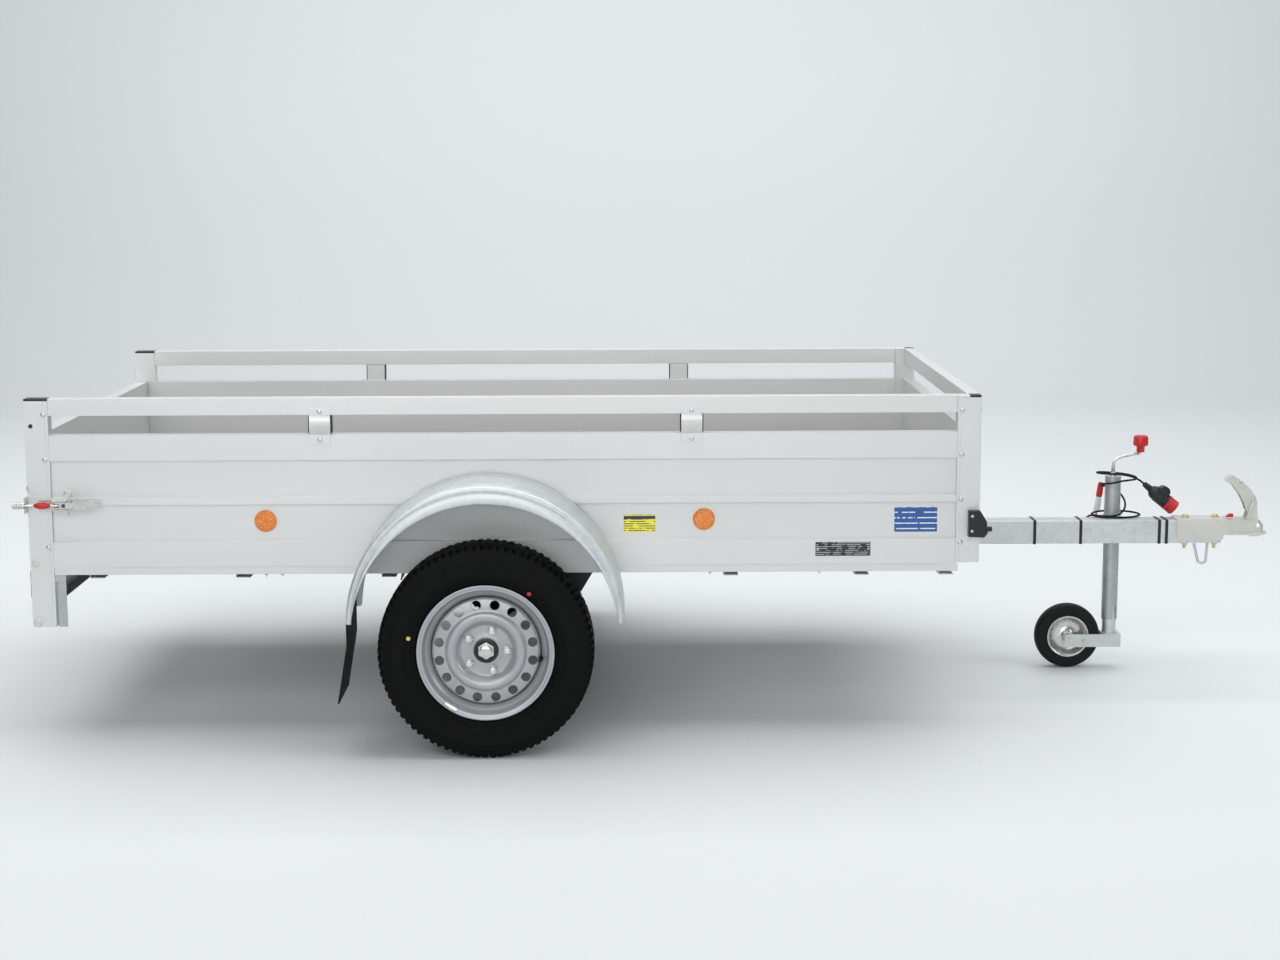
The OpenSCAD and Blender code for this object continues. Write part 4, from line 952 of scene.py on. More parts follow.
class TRAILER_OT_rims(bpy.types.Operator):
    """Makes the pressed steel wheels: barrel, disc with hand holes, bolts, hub nut and valve"""
    bl_idname = "trailer.rims"
    bl_label = "Rims"

    def execute(self, context):
        for side, sign in SIDES:
            self.rim(side, sign)
        return {"FINISHED"}

    def rim(self, side, sign):
        body = f"wheel_{side}"
        r = RIM_R
        centre = Vector((WHEEL.x, TRACK, WHEEL.z))
        wall = 0.0030
        skin = [(r - 0.0025, 0.0650), (r - 0.0060, 0.0645), (r - 0.0110, 0.0612), (r - 0.0140, 0.0550),
                (r - 0.0165, 0.0420), (r - 0.0210, 0.0370), (r - 0.0300, 0.0310), (r - 0.0345, 0.0200),
                (r - 0.0345, -0.0100),
                (r - 0.0240, -0.0240), (r - 0.0140, -0.0320), (r - 0.0130, -0.0560),
                (r - 0.0085, -0.0620),
                (r - 0.0035, -0.0646), (r, -0.0650)]
        back = [(radius - wall, offset) for radius, offset in reversed(skin[2:-2])]
        outline = skin + [(r - 0.0010, -0.0650 + 0.0005)] + back + [(r - 0.0010, 0.0645)]
        barrel = spun(outline, centre, "Y", 96)
        disc = self.disc(centre)
        if sign < 0:
            mirrored(barrel)
            mirrored(disc)
        barrel_piece = add_piece(barrel, f"rim_barrel_{side}", body, "silver", crease=40)
        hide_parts(f"rim_{side}")
        disc_piece = add_piece(disc, f"rim_disc_{side}", body, "silver", crease=40)
        self.hand_holes(disc_piece, sign)
        softened(disc_piece, 0.0011, 2, 42)
        self.fixings(side, sign, body, centre)

    def disc(self, centre):
        """The pressed disc: dished middle, raised shoulder, outer zone that carries the hand holes."""
        face = [(0.0325, 0.0290), (0.0345, 0.0318), (0.0375, 0.0325), (0.0410, 0.0310),
                (0.0660, 0.0308),
                (0.0690, 0.0316), (0.0760, 0.0400), (0.0800, 0.0455), (0.0850, 0.0492),
                (0.0920, 0.0508),
                (0.0990, 0.0502), (0.1035, 0.0478), (0.1060, 0.0440), (0.1085, 0.0420),
                (0.1120, 0.0416),
                (0.1370, 0.0400), (0.1405, 0.0385), (0.1430, 0.0340), (0.1445, 0.0240),
                (0.1450, 0.0120)]
        back = [(radius - (0.0026 if radius > 0.14 else 0.0), offset - 0.0036)
                for radius, offset in reversed(face)]
        back[0] = (0.1418, 0.0120)
        return spun(face + back, centre, "Y", 128)

    def hand_holes(self, disc, sign):
        """Round holes cut through the disc's outer zone."""
        cutters = []
        for place in range(HAND_HOLES):
            angle = TURN * (place + 0.5) / HAND_HOLES
            x = WHEEL.x + HOLE_CIRCLE * math.cos(angle)
            z = WHEEL.z + HOLE_CIRCLE * math.sin(angle)
            cutters.append(round_bar((x, sign * (TRACK - 0.01), z), (x, sign * (TRACK + 0.09), z),
                                     0.0129, 28))
        tool_mesh = bpy.data.meshes.new("hole tool")
        tool_bm = joined(*cutters)
        bmesh.ops.recalc_face_normals(tool_bm, faces=tool_bm.faces[:])
        tool_bm.to_mesh(tool_mesh)
        tool_bm.free()
        tool = bpy.data.objects.new("hole_tool", tool_mesh)
        bpy.context.scene.collection.objects.link(tool)
        cut = disc.modifiers.new("hand holes", "BOOLEAN")
        cut.object = tool
        cut.operation = "DIFFERENCE"
        cut.solver = "EXACT"
        bpy.context.view_layer.update()
        shaped = bpy.data.meshes.new_from_object(disc.evaluated_get(bpy.context.evaluated_depsgraph_get()))
        disc.modifiers.remove(cut)
        disc.data = shaped
        bpy.data.objects.remove(tool)
        shaped.polygons.foreach_set("use_smooth", [True] * len(shaped.polygons))
        shaped.set_sharp_from_angle(angle=math.radians(40))

    def fixings(self, side, sign, body, centre):
        out = Vector((0, sign, 0))
        middle_of = Vector((centre.x, sign * TRACK, centre.z))
        bolts = []
        for place in range(WHEEL_BOLTS):
            angle = TURN * place / WHEEL_BOLTS + math.radians(1)
            way = Vector((math.cos(angle), 0, math.sin(angle)))
            spot = middle_of + way * BOLT_CIRCLE + out * 0.0306
            bolts.append(round_bar(spot, spot + out * 0.005, 0.0125, 24, 0.0108))
            bolts.append(hexagon_bolt(spot + out * 0.005, out, 0.0180, 0.0100))
        add_piece(joined(*bolts), f"wheel_bolts_{side}", body, "zinc", edge=0.0008, crease=30)
        hub = spun(((0.0, 0.026), (0.0325, 0.026), (0.0325, 0.0325), (0.0300, 0.0340),
                    (0.0240, 0.0340), (0.0235, 0.0300), (0.0, 0.0300)), centre, "Y", 48)
        if sign < 0:
            mirrored(hub)
        add_piece(hub, f"hub_face_{side}", body, "black paint", crease=40)
        nut = joined(hexagon_bolt(middle_of + out * 0.026, out, 0.041, 0.012),
                     round_bar(middle_of + out * 0.038, middle_of + out * 0.0505, 0.0175, 40, 0.0165),
                     round_bar(middle_of + out * 0.0505, middle_of + out * 0.0525, 0.0165, 40, 0.0120))
        nut_piece = add_piece(nut, f"hub_nut_{side}", body, "zinc", edge=0.001, crease=30)
        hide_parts(f"hub_{side}")
        back = round_bar(middle_of - out * 0.078, middle_of + out * 0.018, 0.042, 48)
        flange = round_bar(middle_of + out * 0.018, middle_of + out * 0.0298, 0.076, 64)
        add_piece(joined(back, flange), f"hub_drum_{side}", body, "galvanised", edge=0.002, crease=35)
        angle = math.radians(-8.5)
        way = Vector((math.cos(angle), 0, math.sin(angle)))
        root = middle_of + way * 0.1475 + out * 0.020
        tip = middle_of + way * 0.1450 + out * 0.058
        stem = joined(round_bar(root, root.lerp(tip, 0.45), 0.0075, 20, 0.0052),
                      round_bar(root.lerp(tip, 0.45), root.lerp(tip, 0.75), 0.0045, 20),
                      round_bar(root.lerp(tip, 0.72), tip, 0.0054, 20, 0.0048))
        add_piece(stem, f"valve_{side}", body, "black rubber", edge=0.0005)
        self.weight(side, sign, body, middle_of)

    def weight(self, side, sign, body, middle_of):
        """Balance weight clipped on the flange."""
        bm = bmesh.new()
        outline = rounded([(RIM_R - 0.0170, 0.0622), (RIM_R - 0.0030, 0.0622), (RIM_R - 0.0030, 0.0655),
                           (RIM_R - 0.0085, 0.0675), (RIM_R - 0.0170, 0.0650)], 0.0012, 2)
        ring_of(bm, [Vector((point.x, point.y, 0)) for point in outline])
        bmesh.ops.contextual_create(bm, geom=bm.edges[:])
        bmesh.ops.rotate(bm, verts=bm.verts[:], cent=(0, 0, 0),
                         matrix=Matrix.Rotation(math.radians(129), 3, "Y"))
        bmesh.ops.spin(bm, geom=bm.faces[:], cent=(0, 0, 0), axis=(0, 1, 0), dvec=(0, 0, 0),
                       angle=math.radians(-12), steps=8, use_merge=False, use_duplicate=False)
        bmesh.ops.scale(bm, vec=(1, sign, 1), verts=bm.verts[:])
        bmesh.ops.translate(bm, verts=bm.verts[:], vec=middle_of)
        add_piece(bm, f"balance_weight_{side}", body, "zinc", edge=0.0004)


class TRAILER_OT_mudguards(bpy.types.Operator):
    """Makes the galvanised mudguards with their rolled lip and ridges"""
    bl_idname = "trailer.mudguards"
    bl_label = "Mudguards"

    def execute(self, context):
        for side, sign in SIDES:
            self.guard(side, sign)
        return {"FINISHED"}

    def guard(self, side, sign):
        """The sheet is spun over half a turn; the lip gets shallower towards the feet."""
        inner = HALF_BOX + 0.0006
        outer = GUARD_Y
        width = outer - inner
        # (distance below the crown, share of the lip, distance from the wall)
        section = [(0.020, 0.0, 0.0), (0.003, 0.0, 0.0), (0.0, 0.0, 0.003), (0.0, 0.0, width * 0.25),
                   (0.0, 0.0, width * 0.5), (0.001, 0.0, width * 0.72), (0.004, 0.0, width - 0.030),
                   (0.0065, 0.0, width - 0.026), (0.0040, 0.0, width - 0.021),
                   (0.0015, 0.0, width - 0.014),
                   (0.0025, 0.0, width - 0.007), (0.007, 0.0, width - 0.0022),
                   (0.014, 0.0, width - 0.0016),
                   (0.0155, 0.10, width - 0.0046), (0.0165, 0.22, width - 0.0040),
                   (0.0165, 0.40, width - 0.0010),
                   (0.0165, 0.75, width - 0.0006), (0.0165, 0.93, width - 0.0016),
                   (0.0165, 1.0, width - 0.0055),
                   (0.0155, 0.97, width - 0.0080)]
        steps = 72
        bm = bmesh.new()
        share = bm.verts.layers.float.new("lip")
        verts = [bm.verts.new((GUARD_R - down, across, 0)) for down, _, across in section]
        for pair in zip(verts, verts[1:]):
            bm.edges.new(pair)
        for vert, (_, lip, _) in zip(verts, section):
            vert[share] = lip
        bmesh.ops.spin(bm, geom=bm.verts[:] + bm.edges[:], cent=(0, 0, 0), axis=(0, -1, 0),
                       dvec=(0, 0, 0),
                       angle=math.pi, steps=steps, use_merge=False, use_duplicate=False)
        for vert in bm.verts:
            angle = math.atan2(vert.co.z, vert.co.x)
            radius = math.hypot(vert.co.x, vert.co.z)
            if vert[share] > 0:
                radius -= GUARD_LIP * vert[share] * max(0.0, math.sin(angle)) ** 0.9
            vert.co.x = radius * math.cos(angle)
            vert.co.z = radius * math.sin(angle)
        bmesh.ops.translate(bm, verts=bm.verts[:], vec=(WHEEL.x, inner, GUARD_Z))
        bmesh.ops.recalc_face_normals(bm, faces=bm.faces[:])
        if sign < 0:
            mirrored(bm)
            bmesh.ops.recalc_face_normals(bm, faces=bm.faces[:])
        top = max(bm.faces, key=lambda face: face.calc_center_median().z)
        if top.normal.z < 0:
            bmesh.ops.reverse_faces(bm, faces=bm.faces[:])
        piece = add_piece(bm, f"guard_{side}", "chassis", "galvanised", crease=60, outward=False,
                          replaces=["mudguards"])
        sheet = piece.modifiers.new("sheet", "SOLIDIFY")
        sheet.thickness = 0.0015
        sheet.offset = -1.0
        subdivided = piece.modifiers.new("smooth", "SUBSURF")
        subdivided.levels = 1
        subdivided.render_levels = 1


class TRAILER_OT_labels(bpy.types.Operator):
    """Fixes the plain labels, the type plate and its rivets, and the label on the tailgate"""
    bl_idname = "trailer.labels"
    bl_label = "Labels and plate"

    def execute(self, context):
        panel = HALF_BOX - 0.010
        x = WHEEL.x
        yellow = printed("yellow label", (0.90, 0.84, 0.06), (0.05, 0.05, 0.05), 0.0062, 0.62,
                         (0.6035, 0.612, (0.03, 0.03, 0.03)))
        blue = printed("blue label", (0.02, 0.10, 0.36), (0.80, 0.84, 0.90), 0.0150, 0.20)
        plate = printed("black plate", (0.02, 0.02, 0.022), (0.50, 0.50, 0.50), 0.0052, 0.5)
        self.label("label_yellow", x + 0.366, x + 0.452, 0.567, 0.615, panel, yellow)
        self.label("label_blue_edge", x + 1.099, x + 1.224, 0.561, 0.637, panel, "white plastic")
        self.label("label_blue", x + 1.103, x + 1.220, 0.565, 0.633, panel + 0.0004, blue)
        face = HALF_BOX + 0.0012
        plate_piece = self.label("plate_face", x + 0.889, x + 1.037, 0.502, 0.538, face - 0.0002, plate)
        rivets = []
        for px in (x + 0.894, x + 1.032):
            rivets.append(round_bar((px, -face, 0.520), (px, -face - 0.0018, 0.520), 0.0036, 20,
                                    0.0022))
        add_piece(joined(*rivets), "plate_rivets", "chassis", "zinc", edge=0.0004)
        self.gate_label()
        return {"FINISHED"}

    def label(self, name, x0, x1, z0, z1, depth, finish):
        corners = [(x0, z0), (x1, z0), (x1, z1), (x0, z1)]
        outline = [(point.x, point.y) for point in rounded(corners, 0.0015, 3)]
        bm = slab(outline, 0.0006)
        bmesh.ops.translate(bm, verts=bm.verts[:], vec=(0, -depth - 0.0003, 0))
        return add_piece(bm, name, "chassis", finish)

    def gate_label(self):
        """Yellow label on the inner face of the tailgate."""
        face = high("tailgate").x
        y = -(INNER_HALF - 0.13)
        corners = [(y - 0.06, 0.735), (y + 0.06, 0.735), (y + 0.06, 0.815), (y - 0.06, 0.815)]
        bm = slab([(point.x, point.y) for point in rounded(corners, 0.003, 3)], 0.0006, "YZ")
        bmesh.ops.translate(bm, verts=bm.verts[:], vec=(face + 0.0003, 0, 0))
        yellow = printed("gate label", (0.90, 0.80, 0.05), (0.05, 0.05, 0.05), 0.016, 0.4)
        add_piece(bm, "label_gate", "tailgate", yellow)


class TRAILER_OT_reflectors(bpy.types.Operator):
    """Makes the round side reflectors with their moulded wedges"""
    bl_idname = "trailer.reflectors"
    bl_label = "Reflectors"

    def execute(self, context):
        panel = HALF_BOX - 0.010
        x0 = low("reflectors").x + 0.030
        x1 = high("reflectors").x - 0.030
        z = middle("reflectors").z
        parts = []
        lenses = []
        for x in (x0, x1):
            for sign in (-1, 1):
                body = spun(((0.0, 0.0), (0.030, 0.0), (0.030, 0.0042), (0.0288, 0.0056),
                             (0.0268, 0.0056), (0.0262, 0.0040), (0.0, 0.0040)), (x, panel, z), "Y", 64)
                lens = spun(((0.0, 0.004), (0.0262, 0.004), (0.0262, 0.0056), (0.0252, 0.0066),
                             (0.006, 0.0072), (0.0, 0.0072)), (x, panel, z), "Y", 64)
                wedges = [face for face in lens.faces if face.calc_center_median().y > panel + 0.0062]
                for face in wedges:
                    spot = face.calc_center_median() - Vector((x, panel, z))
                    if int((math.atan2(spot.z, spot.x) % TURN) / (TURN / 8)) % 2:
                        for vert in face.verts:
                            vert.co.y = min(vert.co.y, panel + 0.0066)
                if sign < 0:
                    mirrored(body)
                    mirrored(lens)
                parts.append(body)
                lenses.append(lens)
        add_piece(joined(*parts), "reflector_bodies", "chassis", "amber", replaces=["reflectors"])
        add_piece(joined(*lenses), "reflector_lenses", "chassis", "amber", crease=8)
        return {"FINISHED"}


class TRAILER_OT_lamps(bpy.types.Operator):
    """Details the front marker lamps and the rear lamps"""
    bl_idname = "trailer.lamps"
    bl_label = "Lamps"

    def execute(self, context):
        x = WHEEL.x
        screws = []
        nubs = []
        for sign in (-1, 1):
            face = sign * (HALF_BOX + 0.022)
            for px, pz in ((x + 1.311, 0.612), (x + 1.311, 0.571)):
                screws.append(round_bar((px, face, pz), (px, face - sign * -0.0012, pz), 0.0042, 18,
                                        0.0034))
            y = sign * (HALF_BOX + 0.011)
            nub = spun(((0.0, 0.0), (0.0068, 0.0), (0.0068, 0.010), (0.0058, 0.0138),
                        (0.0030, 0.0152), (0.0, 0.0155)), (0, 0, 0), "Z", 32)
            bmesh.ops.transform(nub, matrix=Matrix.Translation((high("marker_lamps").x - 0.0158, y, 0.575))
                                @ Matrix.Rotation(math.pi / 2, 4, "Y"), verts=nub.verts[:])
            nubs.append(nub)
        add_piece(joined(*screws), "lamp_screws", "chassis", "zinc", edge=0.0003)
        add_piece(joined(*nubs), "lamp_lenses", "chassis", "clear lens")
        self.rear_lamps()
        return {"FINISHED"}

    def rear_lamps(self):
        back = low("rear_lamps").x
        z0 = low("rear_lamps").z
        z1 = high("rear_lamps").z
        outer = high("rear_lamps").y
        inner = outer - 0.210
        shells = []
        lenses = []
        ambers = []
        for sign in (-1, 1):
            shells.append(self.pad(sign, inner, outer, z0, z1, back + 0.018, back + 0.033))
            for lens, y0, y1 in ((lenses, inner + 0.078, outer - 0.004),
                                 (ambers, inner + 0.004, inner + 0.074)):
                lens.append(self.pad(sign, y0, y1, z0 + 0.004, z1 - 0.004, back, back + 0.020))
        add_piece(joined(*shells), "rear_lamp_shells", "chassis", "black plastic", edge=0.003,
                  replaces=["rear_lamps"])
        add_piece(joined(*lenses), "rear_lamp_lenses", "chassis", "red lens", edge=0.004)
        add_piece(joined(*ambers), "rear_lamp_ambers", "chassis", "amber", edge=0.004)

    def pad(self, sign, y0, y1, z0, z1, x0, x1):
        return block((x0, min(sign * y0, sign * y1), z0), (x1, max(sign * y0, sign * y1), z1))


class TRAILER_OT_latches(bpy.types.Operator):
    """Adds the latches' red cap, lanyard wire and knurled barrel"""
    bl_idname = "trailer.latches"
    bl_label = "Latches"

    def execute(self, context):
        for side, sign in SIDES:
            self.barrel(side)
            self.cap(side, sign)
            self.wire(side, sign)
        return {"FINISHED"}

    def barrel(self, side):
        """Rod with its eye, its sleeve and the hollow threaded barrel."""
        rear = low(f"latch_hook_{side}").x
        front = high(f"latch_hook_{side}").x - 0.006
        y = middle(f"latch_hook_{side}").y
        z = LATCH_Z
        barrel = [(0.0, 0.010), (0.0058, 0.010), (0.0060, 0.0004), (0.0088, 0.0001), (0.0094, 0.0010)]
        for place in range(6):
            start = 0.004 + place * 0.0042
            barrel += [(0.0094, start), (0.0086, start + 0.0012), (0.0094, start + 0.0024)]
        barrel += [(0.0094, 0.0322), (0.0086, 0.0330), (0.0040, 0.0332), (0.0040, 0.0628),
                   (0.0064, 0.0632),
                   (0.0064, 0.0940), (0.0040, 0.0948), (0.0038, front - rear - 0.004),
                   (0.0, front - rear - 0.004)]
        bm = spun(barrel, (0, 0, 0), "Z", 48)
        bmesh.ops.transform(bm, matrix=(Matrix.Translation((rear, y, z))
                                        @ Matrix.Rotation(math.pi / 2, 4, "Y")),
                            verts=bm.verts[:])
        eye = spun(((0.00255, -0.0046), (0.0054, -0.0046), (0.0060, -0.0040),
                    (0.0060, 0.0040), (0.0054, 0.0046), (0.00255, 0.0046)), (front, y, z), "Z", 40)
        add_piece(joined(bm, eye), f"hook_rod_{side}", f"hook_{side}", "zinc",
                  replaces=[f"latch_hook_{side}"], crease=28)
        # Thin black disc at the bottom of the barrel's hollow end: painted shade that darkens the bore
        bore = round_bar((rear + 0.0096, y, z), (rear + 0.0099, y, z), 0.0057, 32)
        add_piece(bore, f"hook_bore_shade_{side}", f"hook_{side}", "black plastic")

    def cap(self, side, sign):
        """Red oval plastic cap on the hook's rod."""
        hook = f"latch_hook_{side}"
        x0 = low(hook).x + 0.066
        y = middle(hook).y
        bm = bmesh.new()
        bmesh.ops.create_uvsphere(bm, u_segments=32, v_segments=16, radius=1.0)
        bmesh.ops.scale(bm, vec=(0.024, 0.0065, 0.0092), verts=bm.verts[:])
        bmesh.ops.translate(bm, vec=(x0 + 0.014, y + sign * 0.0022, LATCH_Z), verts=bm.verts[:])
        add_piece(bm, f"hook_cap_{side}", f"hook_{side}", "red plastic")

    def wire(self, side, sign):
        """Thin lanyard from the bracket to its loose twisted end."""
        y = sign * (HALF_BOX + 0.006)
        x = WHEEL.x
        points = smooth_path([(x - 1.150, y, 0.669), (x - 1.180, y + sign * 0.006, 0.672),
                              (x - 1.215, y + sign * 0.008, 0.673),
                              (x - 1.238, y + sign * 0.006, 0.680),
                              (x - 1.246, y + sign * 0.004, 0.694),
                              (x - 1.243, y + sign * 0.004, 0.706)], 5)
        tube_along(points, 0.0008, f"lanyard_{side}", "zinc", "chassis", 3)
        knot = joined(ring((x - 1.2435, y + sign * 0.004, 0.700), 0.0026, 0.0011, (0.4, 0, 1), 20, 6),
                      ring((x - 1.2445, y + sign * 0.004, 0.696), 0.0022, 0.0010, (-0.5, 0, 1), 20, 6))
        add_piece(knot, f"lanyard_knot_{side}", "chassis", "zinc")


class TRAILER_OT_jockey(bpy.types.Operator):
    """Makes the jockey wheel's crank, knob, clamp grip, pressed rim and axle bolts"""
    bl_idname = "trailer.jockey"
    bl_label = "Jockey wheel"

    def execute(self, context):
        self.crank()
        self.knob()
        self.grip()
        self.wheel()
        return {"FINISHED"}

    def crank(self):
        x, y = JOCKEY.x, JOCKEY.y
        top = JOCKEY_TOP
        end = middle("jockey_knob").x
        foot = low("jockey_knob").z
        path = smooth_path([(x, y, top - 0.05), (x, y, top + 0.020), (x + 0.001, y, top + 0.040),
                            (x + 0.007, y, top + 0.052), (x + 0.022, y, top + 0.059),
                            (end - 0.020, y, top + 0.068),
                            (end - 0.005, y, top + 0.0695), (end, y, foot - 0.001),
                            (end, y, foot + 0.010)], 6)
        rod = tube_along(path, 0.0046, "crank_rod", "zinc", "crank", 8)
        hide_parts("jockey_crank")
        collar = joined(round_bar((x, y, top - 0.001), (x, y, top + 0.012), 0.0095, 32, 0.0080),
                        round_bar((x, y, top + 0.012), (x, y, top + 0.034), 0.0062, 24))
        add_piece(collar, "crank_collar", "crank", "zinc", edge=0.0006)

    def knob(self):
        spot = middle("jockey_knob")
        foot = low("jockey_knob").z
        bm = spun(((0.0, 0.0), (0.0115, 0.0), (0.0125, 0.002), (0.0125, 0.0165), (0.0150, 0.0190),
                   (0.0205, 0.0195), (0.0225, 0.0215), (0.0230, 0.0260), (0.0224, 0.0440),
                   (0.0205, 0.0490), (0.0150, 0.0512), (0.0070, 0.0518), (0.0, 0.0519)),
                  (spot.x, spot.y, foot), "Z", 72)
        flutes = 12
        for vert in bm.verts:
            away = Vector((vert.co.x - spot.x, vert.co.y - spot.y, 0))
            if away.length > 0.016 and 0.0195 < vert.co.z - foot < 0.0470:
                dip = 0.0007 * (0.5 - 0.5 * math.cos(flutes * math.atan2(away.y, away.x)))
                vert.co -= away.normalized() * dip
        add_piece(bm, "crank_knob", "knob", "red plastic", replaces=["jockey_knob"], crease=45)

    def grip(self):
        """Clamp screw: bar, clear sleeve and red grip."""
        z = BAR_TOP - 0.023
        lean = Vector((math.sin(math.radians(8)), 0, math.cos(math.radians(8))))
        root = Vector((WHEEL.x + 1.834, JOCKEY.y + 0.048, z))
        screw = joined(round_bar(root + Vector((0, -0.058, 0)), root + Vector((0, 0.006, 0)), 0.0039,
                                 24),
                       round_bar(root + Vector((0, -0.012, 0)), root + Vector((0, 0.008, 0)), 0.0070,
                                 28),
                       round_bar(root, root + Vector((0, 0, 0.031)), 0.0038, 24))
        bar = add_piece(screw, "clamp_bar", "clamp_screw", "zinc", edge=0.0006)
        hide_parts("clamp_handle")
        start = root + Vector((0, 0, 0.026))
        sleeve = round_bar(start, start + lean * 0.046, 0.0105, 28, 0.0082)
        add_piece(sleeve, "clamp_sleeve", "clamp_screw", "white plastic", edge=0.001)
        bulge = joined(round_bar(start + lean * 0.045, start + lean * 0.052, 0.0080, 28, 0.0098),
                       round_bar(start + lean * 0.052, start + lean * 0.086, 0.0098, 28, 0.0092),
                       round_bar(start + lean * 0.086, start + lean * 0.092, 0.0092, 28, 0.0060))
        add_piece(bulge, "clamp_grip", "clamp_screw", "red plastic", edge=0.0008)

    def wheel(self):
        spot = middle("jockey_tyre")
        radius = (high("jockey_tyre").x - low("jockey_tyre").x) / 2
        body = "jockey_wheel"
        half = (high("jockey_tyre").y - low("jockey_tyre").y) / 2
        tyre = [(0.064, -0.0235), (0.072, -half), (0.088, -half), (0.0955, -0.021),
                (radius - 0.0008, -0.012),
                (radius - 0.0001, 0.0), (radius - 0.0008, 0.012), (0.0955, 0.021), (0.088, half),
                (0.072, half),
                (0.064, 0.0235)]
        bm = spun(rounded(tyre, 0.004, 3), spot, "Y", 96)
        add_piece(bm, "jockey_tread", body, "solid tyre", replaces=["jockey_tyre"])
        for name, sign in (("near", -1), ("far", 1)):
            face = [(0.0065, 0.026), (0.0150, 0.026), (0.0165, 0.022), (0.0175, 0.012),
                    (0.0210, 0.0095),
                    (0.0380, 0.0075), (0.0470, 0.0100), (0.0530, 0.0150), (0.0570, 0.0225),
                    (0.0610, 0.0258),
                    (0.0640, 0.0258), (0.0640, 0.0240), (0.0610, 0.0236), (0.0580, 0.0200),
                    (0.0545, 0.0130),
                    (0.0480, 0.0078), (0.0380, 0.0052), (0.0150, 0.0060), (0.0065, 0.0060)]
            disc = spun(face, spot, "Y", 72)
            if sign < 0:
                bmesh.ops.translate(disc, verts=disc.verts[:], vec=(0, -spot.y, 0))
                mirrored(disc)
                bmesh.ops.translate(disc, verts=disc.verts[:], vec=(0, spot.y, 0))
            add_piece(disc, f"jockey_disc_{name}", body, "zinc", crease=40, edge=0.0004)
        drum = spun(((0.0066, -0.0065), (0.0635, -0.0065), (0.0635, 0.0065), (0.0066, 0.0065)), spot,
                    "Y", 72)
        core = add_piece(drum, "jockey_core", body, "zinc")
        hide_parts("jockey_rim")
        bolts = [hexagon_bolt((spot.x, low("jockey_leg").y + 0.006, spot.z), (0, -1, 0), 0.013, 0.005),
                 hexagon_bolt((JOCKEY.x - 0.084, JOCKEY.y - 0.033, 0.088), (0, -1, 0), 0.010, 0.004),
                 hexagon_bolt((JOCKEY.x - 0.084, JOCKEY.y + 0.033, 0.088), (0, 1, 0), 0.010, 0.004)]
        add_piece(joined(*bolts), "fork_bolts", "leg", "yellow zinc", edge=0.0005)


class TRAILER_OT_coupling(bpy.types.Operator):
    """Adds the coupling's indicator, washers, nuts and the handle's safety catch"""
    bl_idname = "trailer.coupling"
    bl_label = "Coupling details"

    def execute(self, context):
        self.nuts()
        self.indicator()
        self.hoop()
        self.catch()
        return {"FINISHED"}

    def nuts(self):
        x_low = low("coupling_bolts").x + 0.0082
        x_high = high("coupling_bolts").x - 0.0082
        top = BAR_TOP + 0.004
        parts = []
        for x in (x_low, x_high):
            parts.append(round_bar((x, 0, top), (x, 0, top + 0.0016), 0.0125, 32))
            parts.append(hexagon_bolt((x, 0, top + 0.0016), (0, 0, 1), 0.0165, 0.0064))
            parts.append(round_bar((x, 0, BAR_LOW - 0.0016), (x, 0, BAR_LOW), 0.0125, 32))
            parts.append(hexagon_bolt((x, 0, BAR_LOW - 0.0016), (0, 0, -1), 0.0165, 0.0086, 0.0118))
        add_piece(joined(*parts), "coupling_fixings", "chassis", "yellow zinc", edge=0.0006,
                  replaces=["coupling_bolts"])

    def indicator(self):
        """Red pointer that shows whether the jaw holds the ball."""
        x = WHEEL.x
        outline = rounded([(x + 2.197, 0.4835), (x + 2.222, 0.4835), (x + 2.223, 0.4930),
                           (x + 2.213, 0.4940)],
                          0.002, 3)
        bm = slab([(point.x, point.y) for point in outline], 0.012)
        bmesh.ops.translate(bm, verts=bm.verts[:], vec=(0, -0.006, 0))
        add_piece(bm, "ball_indicator", "chassis", "red plastic", edge=0.0008)

    def hoop(self):
        """Round bar bent to a U under the drawbar, for the breakaway cable."""
        front = high("drawbar").x
        path = smooth_path([(front + back, 0.0, z) for back, z in (
            (-0.0737, 0.4078), (-0.0665, 0.3785), (-0.0600, 0.3520), (-0.0570, 0.3440),
            (-0.0505, 0.3403),
            (-0.0405, 0.3403), (-0.0358, 0.3436), (-0.0338, 0.3520), (-0.0322, 0.3785),
            (-0.0302, 0.4078))], 5)
        bar = tube_along(path, 0.0041, "hoop_bar", "galvanised", "chassis", 8)
        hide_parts("guide_hoop")

    def catch(self):
        """Link of the handle's small spring catch, and the rivets on the handle."""
        pivot = Vector((WHEEL.x + 2.282, 0, 0.500))
        side = -0.0245
        link = joined(round_bar(pivot + Vector((-0.0150, side, 0.004)),
                                pivot + Vector((-0.006, side, 0.022)),
                                0.0022, 14),
                      round_bar(pivot + Vector((-0.006, side, 0.022)),
                                pivot + Vector((0.000, -0.0175, 0.050)),
                                0.0022, 14))
        add_piece(link, "handle_link", "handle", "zinc")
        bosses = []
        for dx, dz in ((0.0, 0.0), (-0.002, 0.036), (-0.040, 0.092)):
            spot = pivot + Vector((dx, -0.016, dz))
            bosses.append(round_bar(spot, spot + Vector((0, -0.003, 0)), 0.0055, 24, 0.0040))
        add_piece(joined(*bosses), "handle_rivets", "handle", "zinc", edge=0.0004)


